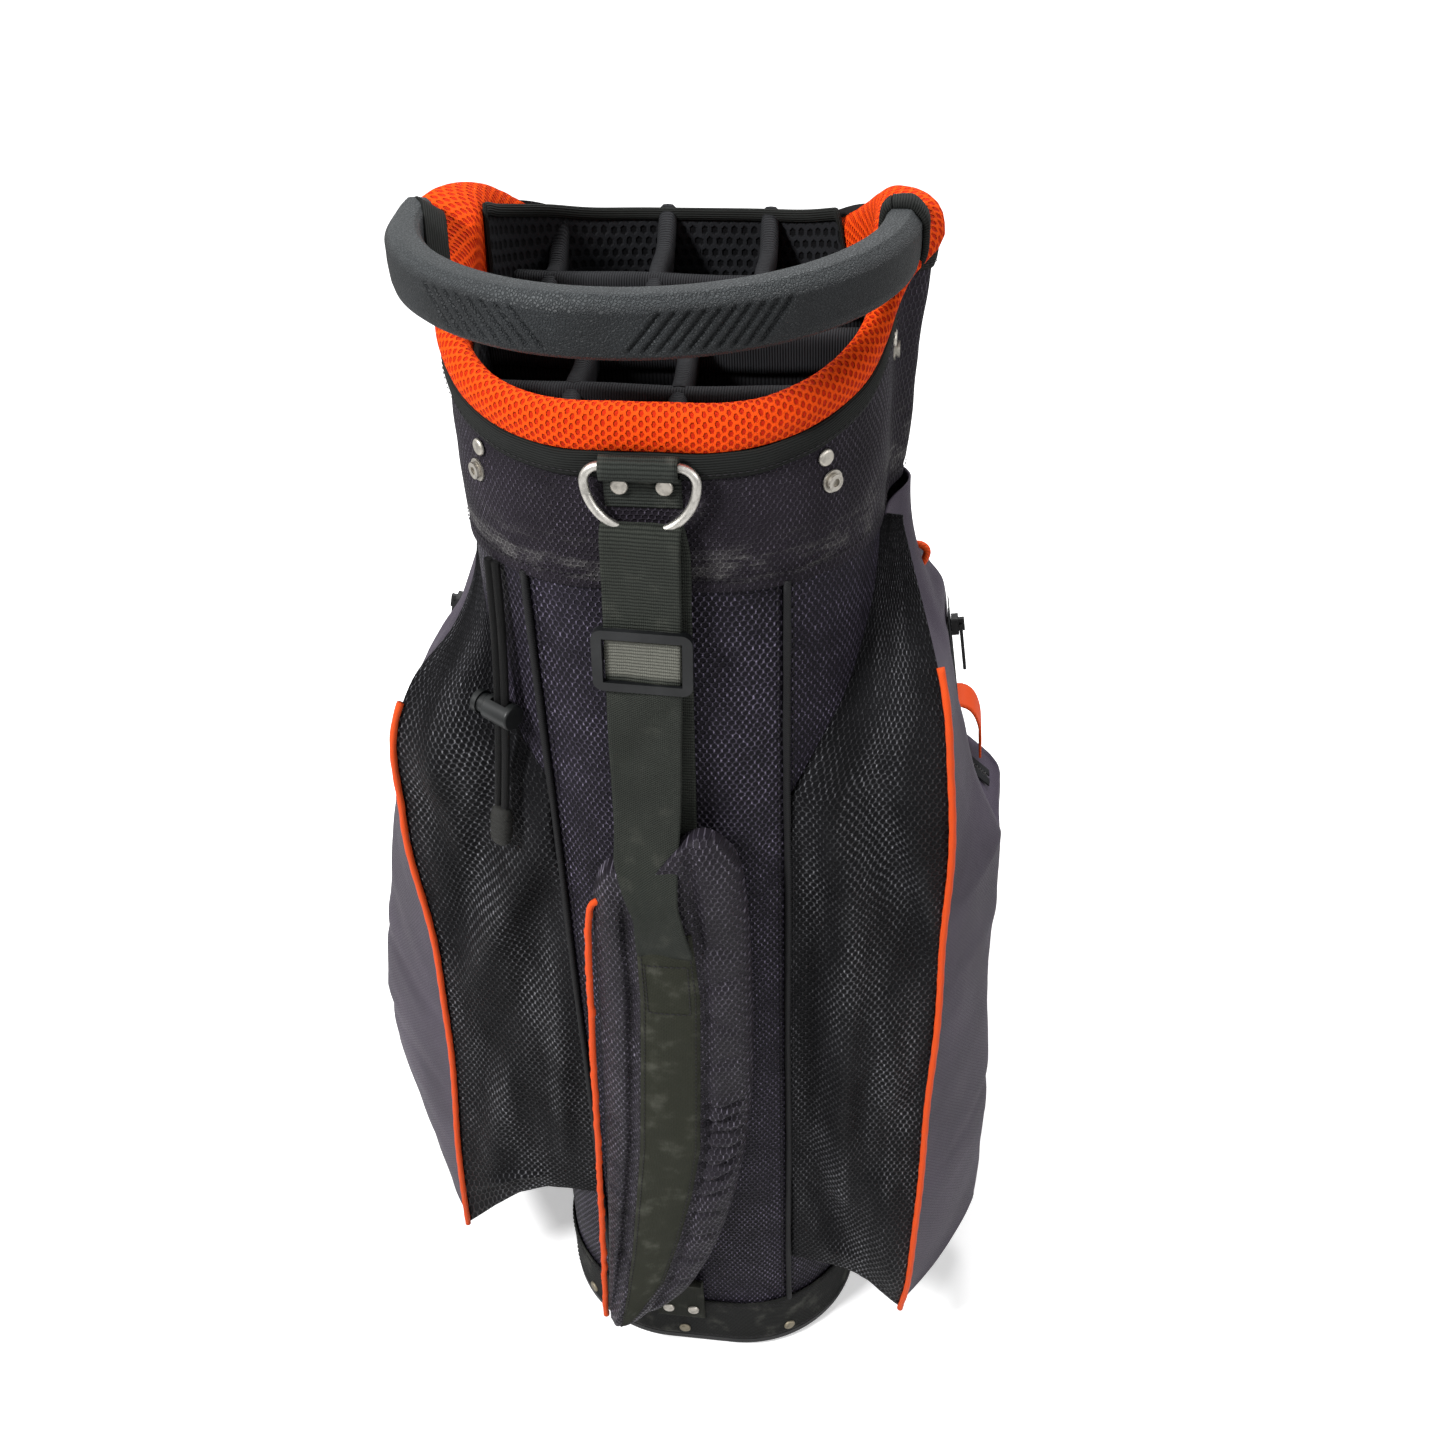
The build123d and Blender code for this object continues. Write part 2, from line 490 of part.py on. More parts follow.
def strap():
    wire = ring_solid(RING_WIRE)
    keep("d_ring", wire)
    face_y = -(TUBE_HALF_Y + CUFF_OUT + FIT)
    tab_width = WEB_WIDTH - 2
    wrap_z = RING_WIRE + 0.15 + WEB
    tab = Pos(0, face_y - WEB / 2, RING_AXIS_Z - TAB_DROP / 2) * Box(tab_width, WEB, TAB_DROP)
    eye = Pos(0, RING_Y, RING_AXIS_Z) * Rot(0, 90, 0) * Cylinder(wrap_z, tab_width)
    bridge_depth = face_y - RING_Y
    eye += Pos(0, face_y - bridge_depth / 2, RING_AXIS_Z) * Box(tab_width, bridge_depth, 2 * wrap_z)
    tab += eye
    tab -= Pos(0, RING_Y, RING_AXIS_Z) * Rot(0, 90, 0) * Cylinder(RING_WIRE + 0.15, 100)
    tab -= ring(CUFF_OUT, BINDING_OUT + FIT + 0.2, 700, 900) & below([(y, z + FIT) for y, z in EDGE_CURVE])
    rivets = []
    for spot in tab_rivet_spots():
        tab -= spot * outwards(RIVET_SHANK + 0.1, 8, 2)
        rivets.append(spot * rivet(CUFF_OUT + FIT + WEB - FRAME_IN))
    keep("d_ring_tab", tab)

    bottom = RING_AXIS_Z - RING_DROP + 2 * RING_WIRE
    loop_thick = 2 * (RING_WIRE + 0.2 + WEB)
    loop_top = bottom + 3.0
    loop_low = bottom - LOOP_LENGTH
    loop = Pos(0, RING_Y, (loop_top + loop_low) / 2) * Box(WEB_WIDTH, loop_thick, loop_top - loop_low)
    loop = fillet(loop.edges().filter_by(Axis.X).group_by(Axis.Z)[-1], loop_thick * 0.4)
    slot = Pos(0, RING_Y, loop_low + 8) * Box(WEB_WIDTH + 1, loop_thick - 2 * WEB, 17)
    loop = leaning(loop - slot) - ring_solid(RING_WIRE + 0.2)
    keep("strap_loop", loop)

    web_top = loop_low - 0.5
    front_y = RING_Y - loop_thick / 2 + WEB / 2
    back_y = RING_Y + loop_thick / 2 - WEB / 2
    front = Pos(0, front_y, (web_top + PAD_TOP - 12) / 2) * Box(WEB_WIDTH, WEB, web_top - PAD_TOP + 12)
    back = Pos(4, back_y, (web_top + PAD_TOP - 6) / 2) * Box(WEB_WIDTH, WEB, web_top - PAD_TOP + 6)
    keep("strap_front_web", leaning(front))
    keep("strap_back_web", leaning(back))

    rails = Box(SLIDER_WIDTH, SLIDER_RAIL, SLIDER_HEIGHT)
    rails = fillet(rails.edges().filter_by(Axis.Y), 6)
    window = Box(WEB_WIDTH + 1.6, SLIDER_RAIL + 1, SLIDER_HEIGHT - 2 * SLIDER_BAR)
    rails -= window
    groove = WEB + 0.6
    rails -= Pos(0, SLIDER_RAIL / 2 - 0.2, 0) * Box(WEB_WIDTH + 1.6, 1.6, SLIDER_HEIGHT + 1)
    bar_y = SLIDER_RAIL / 2 + groove - 0.9
    bar = Pos(0, bar_y + 1.6, 0) * Box(SLIDER_WIDTH - 4, 3.2, 7)
    arms = [Pos(side * (SLIDER_WIDTH / 2 - 3.5), bar_y - 0.5, 0) * Box(3.0, 4.0, 7) for side in (-1, 1)]
    slider = rails + bar + arms[0] + arms[1]
    slider = Pos(0, front_y - WEB / 2 - FIT - SLIDER_RAIL / 2 + 0.9, SLIDER_MIDDLE) * slider
    keep("strap_slider", leaning(slider))

    pad_front = RING_Y - loop_thick / 2
    pad_back = pad_front - FIT
    edge_points = [(-30, PAD_TOP - 22), (-43, 505), (-50, 405), (-57, 260), (-64, 120), (-67, 62), (-52, 60),
                   (-22, 78), (10, 97), (38, 140), (56, 215), (61, 300), (56, 390), (48, 465), (36, 520),
                   (10, PAD_TOP)]
    pad_face = make_face(Spline(*edge_points, periodic=True))
    pad = Pos(0, pad_back, 0) * extrude(Plane.XZ * pad_face, PAD_THICKNESS)
    keep("shoulder_pad", pad)
    web_path = [(-30, PAD_TOP - 8), (-34, 520), (-22, 470), (-18, 330), (-30, 130), (-34, 80), (-10, 88), (9, 140),
                (17, 330), (14, 480), (9, PAD_TOP - 4)]
    web_face = make_face(Polyline(*web_path, close=True))
    web = Pos(0, pad_back - PAD_THICKNESS - FIT, 0) * extrude(Plane.XZ * web_face, WEB)
    keep("pad_webbing", web)
    route = [(-46, 500), (-52, 405), (-59, 260), (-66, 120), (-69, 64)]
    runs = FilletPolyline(*route, radius=150)
    mid_y = pad_back - PAD_THICKNESS / 2
    line = Pos(0, mid_y, 0) * Plane.XZ.location * runs
    start = line.location_at(0)
    piping = sweep(Plane(origin=start.position, z_dir=line.tangent_at(0)) * Circle(2.0), line)
    keep("pad_piping", Pos(-1.5, 0, 0) * piping - Pos(0, 0, 0) * pad)

    tail_y = -(TUBE_HALF_Y + BAND_OUT + FIT)
    tail = Pos(TAIL_X, tail_y - WEB / 2, 66) * Box(WEB_WIDTH - 4, WEB, 56)
    reach = tail_y - WEB - pad_back
    tail += Pos(TAIL_X, tail_y - WEB - reach / 2, 92.5) * Box(WEB_WIDTH - 4, reach, 3.0)
    pins = []
    for step in (-10, 10):
        spot = Pos(TAIL_X + step, tail_y - WEB, 50)
        tail -= spot * outwards(RIVET_SHANK + 0.1, 8, 2)
        pins.append(spot)
    keep("strap_tail", tail)
    tool = [spot * outwards(RIVET_SHANK + 0.1, 14, 2) for spot in pins]
    depth = BAND_OUT + FIT + WEB - CUP_OUT + CUP_WALL
    rivets += [spot * rivet(depth) for spot in pins]
    keep("strap_rivets", Compound(children=rivets))
    for name in ("base_band", "spine_panel", "base_cup"):
        keep(name, parts[name] - tool[0] - tool[1])


# --- umbrella cord ------------------------------------------------------------------------------------------
CORD_ROUTE = [(-92.2, -93.2, CUFF_BOTTOM), (-92.8, -95.0, 690.0), (-94.4, -98.0, 652.0), (-99.2, -102.4, 593.0),
              (-103.8, -104.9, 555.0)]
CORD_SIDE = Vector(0.85, -0.52, 0).normalized()
CORD_STEP = 2.9            # half the distance between the two strands
LOCK_PLACE = 0.5           # place of the lock along the straight run from the third point to the fourth


def umbrella_cord():
    for side, name in ((-1, "left"), (1, "right")):
        points = [Vector(*p) + CORD_SIDE * side * CORD_STEP for p in CORD_ROUTE]
        radii = []
        for a, b, c in zip(points, points[1:], points[2:]):
            half = radians((b - a).get_angle(c - b) / 2)
            radii.append(0.45 * min((b - a).length, (c - b).length) * cos(half) / sin(half))
        print("cord", name, "radii", [round(r) for r in radii])
        path = FilletPolyline(*points, radius=radii)
        strand = sweep(Plane(origin=path.position_at(0), z_dir=path.tangent_at(0)) * Circle(CORD_RADIUS), path)
        strand &= Pos(0, 0, CUFF_BOTTOM - 250.05) * Box(900, 900, 500)
        print("cord volume", round(strand.volume), "section times length",
              round(3.14159 * CORD_RADIUS ** 2 * path.length), "length", round(path.length, 1))
        keep(f"umbrella_cord_{name}", strand)
    end, before = Vector(*CORD_ROUTE[-1]), Vector(*CORD_ROUTE[-2])
    down = (end - before).normalized()
    knot = fillet(Box(14, 9, KNOT_LENGTH).edges(), 2.6)
    keep("cord_end_knot", Plane(origin=end + down * (KNOT_LENGTH / 2 + FIT), x_dir=CORD_SIDE, z_dir=down * -1).location
         * knot)
    top, low = Vector(*CORD_ROUTE[2]), Vector(*CORD_ROUTE[3])
    place = top + (low - top) * LOCK_PLACE
    run = (low - top).normalized()
    spot = Plane(origin=place, x_dir=CORD_SIDE, z_dir=run * -1).location
    print("LOCK", tuple(place), "along", tuple(run), "side", tuple(spot.orientation), tuple(CORD_SIDE))
    slot_x, slot_y = 2 * (CORD_STEP + CORD_RADIUS) + 1.8, 2 * CORD_RADIUS + 1.6
    slot = Box(slot_x, slot_y, 40)
    barrel = fillet((Rot(0, 90, 0) * Cylinder(LOCK_RADIUS, LOCK_LENGTH)).edges().filter_by(GeomType.CIRCLE), 1.2)
    bore_radius = LOCK_RADIUS - 1.7
    barrel -= Pos(-2.5, 0, 0) * Rot(0, 90, 0) * Cylinder(bore_radius, LOCK_LENGTH)
    keep("cord_lock_barrel", spot * (barrel - slot))
    plug = Pos(-5.5, 0, 0) * Rot(0, 90, 0) * Cylinder(bore_radius - 0.2, LOCK_LENGTH)
    plug += Pos(-LOCK_LENGTH / 2 - 7.5, 0, 0) * Rot(0, 90, 0) * Cylinder(LOCK_RADIUS - 0.6, 5.0)
    plug = fillet(plug.edges().filter_by(GeomType.CIRCLE).sort_by(Axis.X)[0], 2.0)
    window = Pos(-PLUNGER_TRAVEL / 2, 0, 0) * Box(slot_x + PLUNGER_TRAVEL + 0.4, slot_y, 40)
    keep("cord_lock_plunger", spot * (plug - window))


# --- pockets ------------------------------------------------------------------------------------------------
ZIP_FACE_LOW, ZIP_FACE_HIGH = 250.0, 620.0
SIDE_ZIP_Y = (40.0, 70.0)
# Each section of a side pocket: height, place of the piped rear corner, reach of the side face, rear seam.
RIGHT_SECTIONS = [(64, 158, -106, 176, (73, -104)), (105, 162, -112, 206, (73, -104)),
                  (250, 166, -104, 214, (73, -104)), (430, 169, -86, None, (73, -104)),
                  (575, 166, -82, None, (73, -104)), (620, 161, -78, 160, (92, -82)),
                  (716, 130, -22, 132, (118, -20))]
LEFT_SECTIONS = [(84, 192, -86, 214, (73, -104)), (140, 189, -90, 244, (73, -104)),
                 (250, 180, -88, 248, (73, -104)), (390, 173, -84, None, (73, -104)),
                 (520, 178, -80, None, (73, -104)), (620, 160, -78, 158, (92, -82)),
                 (716, 130, -22, 132, (118, -20))]


def side_reach(sections, z):
    """The reach of the side face at z: between the zip's ends it is one straight line."""
    known = {s[0]: s[3] for s in sections}
    low, high = known[ZIP_FACE_LOW], known[ZIP_FACE_HIGH]
    return low + (high - low) * (z - ZIP_FACE_LOW) / (ZIP_FACE_HIGH - ZIP_FACE_LOW)


def clear_of_tube(solid):
    """Cuts the tube and the piping of its seams out of a pocket."""
    solid -= block(FIT, -10, 1000)
    for heading in (-FRONT_SEAM, -SPINE_SEAM, SPINE_SEAM, FRONT_SEAM):
        x, y, _ = wall_point(heading, 0)
        solid -= Pos(x, y, 500) * Cylinder(PIPING_RADIUS + FIT, 1100)
    return solid


def side_pocket(sections):
    faces = []
    for z, corner_x, corner_y, reach, seam in sections:
        reach = side_reach(sections, z) if reach is None else reach
        bulge = corner_x + (reach - corner_x) * 0.72
        points = [(50, -60), (seam[0] - 6, seam[1] + 8), seam, (corner_x, corner_y), (bulge, corner_y * 0.25),
                  (reach, SIDE_ZIP_Y[0] - 14), (reach, SIDE_ZIP_Y[1] + 6), (100, 96), (50, 70)]
        faces.append(Pos(0, 0, z) * make_face(Polyline(*points, close=True)))
    solid = loft(Sketch() + faces, ruled=True)
    return clear_of_tube(solid)


def mirrored(shape, side):
    return shape if side > 0 else mirror(shape, Plane.YZ)


def zip_run(name, side, start, end, out, pull_down, width=ZIP_WIDTH):
    """A zip on a flat face from start to end, with out as the outward direction: tapes, teeth, slider, pull."""
    a, b, out = Vector(*start), Vector(*end), Vector(*out).normalized()
    along = (b - a).normalized()
    place = Plane(origin=a + out * 0.05, x_dir=along.cross(out), z_dir=out)
    length = (b - a).length
    local = place.location
    # Local x runs across the zip, local y along it from start, and local z outwards.
    sign = 1 if place.y_dir.dot(along) > 0 else -1
    middle = sign * length / 2
    tapes = []
    for edge in (-1, 1):
        strip = (width - TEETH_WIDTH) / 2 - 0.2
        tapes.append(Pos(edge * (TEETH_WIDTH / 2 + 0.2 + strip / 2), middle, TAPE / 2) * Box(strip, length, TAPE))
    teeth = Pos(0, middle, TEETH / 2) * Box(TEETH_WIDTH, length, TEETH)
    stops = [Pos(0, sign * s, TEETH + 0.8) * Box(TEETH_WIDTH + 2, 3, 1.6) for s in (2.0, length - 2.0)]
    teeth = teeth + stops[0] + stops[1]
    keep(f"{name}_zip", mirrored(Compound(children=[local * t for t in tapes + [teeth]]), side))
    wide, tall, thick = ZIP_SLIDER
    base_z = TEETH + 0.3
    spot = sign * 12.0
    body = Pos(0, spot, base_z + thick / 2) * Box(wide, tall, thick)
    body = fillet(body.edges().filter_by(Axis.Z), 2.5)
    bridge = Pos(0, spot, base_z + thick + PULL_LIFT + 0.6) * Box(3.0, 9.0, 2 * PULL_LIFT + 1.2)
    window = Pos(0, spot, base_z + thick + PULL_LIFT) * Rot(0, 90, 0) * Cylinder(1.25, 20)
    keep(f"{name}_zip_slider", mirrored(local * (body + bridge - window), side))
    pin_z = base_z + thick + PULL_LIFT
    pull_wide, pull_long, pull_thick = PULL
    down = sign if pull_down else -sign
    plate = Pos(0, spot + down * (5.5 + pull_long / 2), pin_z) * Box(pull_wide, pull_long, pull_thick)
    plate = fillet(plate.edges().filter_by(Axis.Z), 2.8)
    pin = Pos(0, spot, pin_z) * Rot(0, 90, 0) * Cylinder(1.0, pull_wide)
    arms = [Pos(edge * (pull_wide / 2 - 0.8), spot + down * 4.0, pin_z) * Box(1.6, 9.6, 2.0) for edge in (-1, 1)]
    keep(f"{name}_zip_pull", mirrored(local * (plate + pin + arms[0] + arms[1]), side))
    hinge = local * Pos(0, spot, pin_z)
    mirror_x = 1 if side > 0 else -1
    spot_v, axis_v = hinge.position, place.x_dir
    print("ZIP", name, "hinge", [round(v, 4) for v in (mirror_x * spot_v.X, spot_v.Y, spot_v.Z)],
          "across", [round(v, 6) for v in (mirror_x * axis_v.X, axis_v.Y, axis_v.Z)],
          "along", [round(v, 6) for v in (mirror_x * along.X, along.Y, along.Z)],
          "out", [round(v, 6) for v in (mirror_x * out.X, out.Y, out.Z)], "length", round(length, 1))


def corner_piping(sections):
    """The piping on the rear corner: a round cord just outside the corner, in straight runs and arcs."""
    points = [(x + 1.8, y - 1.8, z) for z, x, y, _, _ in sections]
    path = FilletPolyline(*points, radius=60)
    start = Plane(origin=path.position_at(0), z_dir=path.tangent_at(0))
    return sweep(start * Circle(2.2), path)


def pockets():
    pipings = []
    for side, name, sections in ((1, "right", RIGHT_SECTIONS), (-1, "left", LEFT_SECTIONS)):
        body = side_pocket(sections)
        keep(f"{name}_side_pocket", mirrored(body, side))
        pipings.append(mirrored(corner_piping(sections) - body, side))
        zip_y = (SIDE_ZIP_Y[0] + SIDE_ZIP_Y[1]) / 2 - 4
        high, low = ZIP_FACE_HIGH - 8, ZIP_FACE_LOW + 12
        start = (side_reach(sections, high), zip_y, high)
        end = (side_reach(sections, low), zip_y, low)
        rise = (side_reach(sections, low) - side_reach(sections, high)) / (high - low)
        zip_run(name, side, start, end, (1, 0, rise), True)

    keep("pocket_piping", Compound(children=pipings))

    ball = Pos(0, 0, 62) * loft(Sketch() + [make_face(Polyline((-86, 60), (-86, 168), (-66, 196), (66, 196), (86, 168),
                                                               (86, 60), close=True)),
                                            Pos(0, 0, 330) * make_face(Polyline((-86, 60), (-86, 150), (-66, 172),
                                                                                (66, 172), (86, 150), (86, 60),
                                                                                close=True))], ruled=True)
    ball = clear_of_tube(ball)
    keep("ball_pocket", ball)
    slope = (196 - 172) / 330
    zip_z = 350.0
    front = 172 + slope * (392 - zip_z)
    zip_run("ball", 1, (60, front, zip_z), (-60, front, zip_z), (0, 1, slope), False)

    upper = Pos(0, 134, 545) * Box(124, 60, 190)
    upper = fillet(upper.edges().filter_by(Axis.Z).group_by(Axis.Y)[-1], 14)
    upper = fillet(upper.faces().sort_by(Axis.Y)[-1].edges(), 5)
    upper = clear_of_tube(upper)
    keep("valuables_pocket", upper)
    zip_run("valuables", 1, (44, 164, 610), (-44, 164, 610), (0, 1, 0), False)

    foot = [(88.4, 60), (88.4, 150), (108, 176), (200, 176), (218, 156), (218, 60)]
    crown = [(88.4, 60), (88.4, 140), (108, 160), (200, 160), (216, 144), (216, 60)]
    pouch = loft(Sketch() + [Pos(0, 0, 206) * make_face(Polyline(*foot, close=True)),
                             Pos(0, 0, 530) * make_face(Polyline(*crown, close=True))], ruled=True)
    slope = Pos(POUCH_ZIP_X, 132, POUCH_ZIP_Z) * Rot(0, POUCH_SLOPE, 0)
    pouch -= slope * Pos(0, 0, 250) * Box(800, 400, 500)
    pouch = clear_of_tube(pouch)
    beside = side_pocket(RIGHT_SECTIONS)
    for shift in ((0, 0, 0), (2 * FIT, 0, 0), (0, 2 * FIT, 0)):
        pouch -= Pos(*shift) * beside
    pouch -= Pos(200, 66, 400) * Box(80, 30, 600)
    keep("right_pouch", pouch.solids().sort_by(SortBy.VOLUME)[-1])
    along, out = (cos(radians(POUCH_SLOPE)), 0, -sin(radians(POUCH_SLOPE))), (sin(radians(POUCH_SLOPE)), 0,
                                                                                cos(radians(POUCH_SLOPE)))
    ends = [tuple(base + reach * step for base, step in zip((POUCH_ZIP_X, 132, POUCH_ZIP_Z), along))
            for reach in (-POUCH_ZIP_LENGTH / 2, POUCH_ZIP_LENGTH / 2)]
    zip_run("pouch", 1, ends[0], ends[1], out, True, 20)
    tab = Box(6, 18, 22) + Pos(0, 0, 11) * Rot(0, 90, 0) * Cylinder(9, 6)
    keep("pouch_tab", slope * Pos(12, 22, 10.2) * Rot(0, -POUCH_SLOPE / 2, 0) * (tab - Pos(0, 0, -30) * Box(60, 60, 41)))


base()
tube()
collar()
divider()
stays()
handle()
strap()
umbrella_cord()
pockets()
os.makedirs("parts", exist_ok=True)
for name, shape in parts.items():
    export_step(shape, f"parts/{name}.step")
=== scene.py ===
"""Looks of the golf cart bag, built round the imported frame. Metres; sizes written in millimetres use MM."""
import math

import bmesh
import bpy
import numpy as np
from mathutils import Matrix, Vector


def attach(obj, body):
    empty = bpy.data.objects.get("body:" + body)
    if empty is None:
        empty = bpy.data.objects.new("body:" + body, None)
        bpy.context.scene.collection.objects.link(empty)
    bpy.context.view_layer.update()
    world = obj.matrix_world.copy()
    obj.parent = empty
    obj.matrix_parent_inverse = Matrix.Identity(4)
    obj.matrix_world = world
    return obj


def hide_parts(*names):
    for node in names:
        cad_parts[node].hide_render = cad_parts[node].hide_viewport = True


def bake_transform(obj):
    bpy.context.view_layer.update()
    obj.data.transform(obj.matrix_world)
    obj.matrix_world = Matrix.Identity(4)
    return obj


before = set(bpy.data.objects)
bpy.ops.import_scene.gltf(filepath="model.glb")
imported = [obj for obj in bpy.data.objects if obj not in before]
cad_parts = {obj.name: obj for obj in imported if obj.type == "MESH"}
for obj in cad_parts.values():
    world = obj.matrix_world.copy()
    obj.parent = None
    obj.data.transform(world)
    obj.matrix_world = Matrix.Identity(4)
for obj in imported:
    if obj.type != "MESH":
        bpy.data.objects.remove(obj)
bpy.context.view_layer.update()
MM = 0.001
WELD_GAP = 0.00002  # metres
TUBE_SIDES = 12

# ---------------------------------------------------------------- camera, floor and light
EYE = (133.1, -763.4, 1119.5)
YAW, PITCH, ROLL = 0.149, 0.637, 0.036
LENS = 36.18
# Each lamp's name, place, target, size and power.
LAMPS = (("key", (-1.15, -1.15, 2.0), (0, 0, 0.5), 0.5, 66), ("fill", (1.7, -0.8, 1.3), (0, 0, 0.5), 0.6, 11),
         ("over", (0.35, 0.8, 2.4), (0, 0, 0.7), 0.8, 34))
SOFT_LIGHT, WHITE = 0.24, 1.0


def aim_camera():
    """The camera, level apart from a slight roll."""
    ahead = Vector((-math.sin(YAW) * math.cos(PITCH), math.cos(YAW) * math.cos(PITCH), -math.sin(PITCH)))
    level = Vector((math.cos(YAW), math.sin(YAW), 0.0))
    down = ahead.cross(level)
    across = math.cos(ROLL) * level + math.sin(ROLL) * down
    low = -math.sin(ROLL) * level + math.cos(ROLL) * down
    turn = Matrix((across, -low, -ahead)).transposed().to_4x4()
    data = bpy.data.cameras.new("camera")
    data.lens, data.sensor_width = LENS, 36.0
    data.clip_start, data.clip_end = 0.02, 30.0
    camera = bpy.data.objects.new("camera", data)
    camera.matrix_world = Matrix.Translation(Vector(EYE) * MM) @ turn
    bpy.context.collection.objects.link(camera)
    bpy.context.scene.camera = camera


def soft_light(name, place, target, size, power):
    """A round lamp, turned to its target."""
    data = bpy.data.lights.new(name, "AREA")
    data.shape, data.size, data.energy = "DISK", size, power
    lamp = bpy.data.objects.new(name, data)
    lamp.location = place
    lamp.rotation_euler = (Vector(target) - Vector(place)).to_track_quat("-Z", "Y").to_euler()
    bpy.context.collection.objects.link(lamp)


# ---------------------------------------------------------------- shader wiring
class Wire:
    """A socket in a shader, with arithmetic."""

    def __init__(self, finish, socket):
        self.finish, self.socket = finish, socket

    def _do(self, operation, *values, clamp=False):
        node = self.finish.tree.nodes.new("ShaderNodeMath")
        node.operation, node.use_clamp = operation, clamp
        for slot, value in zip(node.inputs, values):
            self.finish.feed(slot, value)
        return Wire(self.finish, node.outputs[0])

    def __add__(self, other): return self._do("ADD", self, other)
    def __radd__(self, other): return self._do("ADD", other, self)
    def __sub__(self, other): return self._do("SUBTRACT", self, other)
    def __rsub__(self, other): return self._do("SUBTRACT", other, self)
    def __mul__(self, other): return self._do("MULTIPLY", self, other)
    def __rmul__(self, other): return self._do("MULTIPLY", other, self)
    def __truediv__(self, other): return self._do("DIVIDE", self, other)
    def fract(self): return self._do("FRACT", self)
    def abs(self): return self._do("ABSOLUTE", self)
    def sin(self): return self._do("SINE", self)
    def sqrt(self): return self._do("SQRT", self)
    def most(self, other): return self._do("MAXIMUM", self, other)
    def under(self, other): return self._do("LESS_THAN", self, other)
    def clamp(self): return self._do("ADD", self, 0.0, clamp=True)

    def ramp(self, low, high):
        """A smooth step from 0 at low to 1 at high."""
        node = self.finish.tree.nodes.new("ShaderNodeMapRange")
        node.interpolation_type = "SMOOTHSTEP"
        for slot, value in zip(("Value", "From Min", "From Max"), (self, low, high)):
            self.finish.feed(node.inputs[slot], value)
        return Wire(self.finish, node.outputs[0])


class Finish:
    """One material, with its nodes made by method."""

    def __init__(self, name):
        self.material = bpy.data.materials.new(name)
        self.material.use_nodes = True
        self.tree = self.material.node_tree
        self.tree.nodes.clear()
        self.out = self.tree.nodes.new("ShaderNodeOutputMaterial")

    def feed(self, slot, value):
        if isinstance(value, Wire):
            self.tree.links.new(value.socket, slot)
        elif isinstance(value, (tuple, list)) and slot.type == "RGBA" and len(value) == 3:
            slot.default_value = (*value, 1.0)
        else:
            slot.default_value = value

    def node(self, kind, settings=None, out=0, **values):
        node = self.tree.nodes.new(kind)
        for key, value in (settings or {}).items():
            setattr(node, key, value)
        for key, value in values.items():
            self.feed(node.inputs[key.replace("_", " ")], value)
        return Wire(self, node.outputs[out])

    def uv(self):
        """The piece's own surface coordinates, in millimetres."""
        flat = self.node("ShaderNodeTexCoord", out="UV")
        parts = self.tree.nodes.new("ShaderNodeSeparateXYZ")
        self.feed(parts.inputs[0], flat)
        return Wire(self, parts.outputs[0]) * 1000.0, Wire(self, parts.outputs[1]) * 1000.0

    def place(self):
        """The object coordinates, in millimetres."""
        spot = self.node("ShaderNodeTexCoord", out="Object")
        parts = self.tree.nodes.new("ShaderNodeSeparateXYZ")
        self.feed(parts.inputs[0], spot)
        return [Wire(self, parts.outputs[i]) * 1000.0 for i in range(3)]

    def join(self, x, y=0.0, z=0.0):
        node = self.tree.nodes.new("ShaderNodeCombineXYZ")
        for slot, value in zip(node.inputs, (x, y, z)):
            self.feed(slot, value)
        return Wire(self, node.outputs[0])

    def noise(self, at, scale, detail=3.0, rough=0.55):
        return self.node("ShaderNodeTexNoise", Vector=at, Scale=scale, Detail=detail, Roughness=rough)

    def cells(self, at, scale, feature="F1"):
        return self.node("ShaderNodeTexVoronoi", {"feature": feature}, Vector=at, Scale=scale)

    def mix(self, factor, first, second):
        node = self.tree.nodes.new("ShaderNodeMix")
        node.data_type = "RGBA"
        self.feed(node.inputs[0], factor)
        self.feed(node.inputs[6], first)
        self.feed(node.inputs[7], second)
        return Wire(self, node.outputs[2])

    def bump(self, height, depth, below=None):
        node = self.tree.nodes.new("ShaderNodeBump")
        node.inputs["Strength"].default_value = 1.0
        node.inputs["Distance"].default_value = depth * MM
        self.feed(node.inputs["Height"], height)
        if below is not None:
            self.feed(node.inputs["Normal"], below)
        return Wire(self, node.outputs[0])

    def surface(self, colour, rough, normal, metal=0.0, level=0.5):
        node = self.tree.nodes.new("ShaderNodeBsdfPrincipled")
        for label, value in (("Base Color", colour), ("Roughness", rough), ("Metallic", metal), ("Normal", normal)):
            self.feed(node.inputs[label], value)
        node.inputs["Specular IOR Level"].default_value = level
        self.tree.links.new(node.outputs[0], self.out.inputs[0])
        return self.material


def comb(wire, pitch):
    """A rounded rib pattern: 0 in the grooves, 1 on the ribs."""
    return (wire * (math.pi / pitch)).sin().abs()


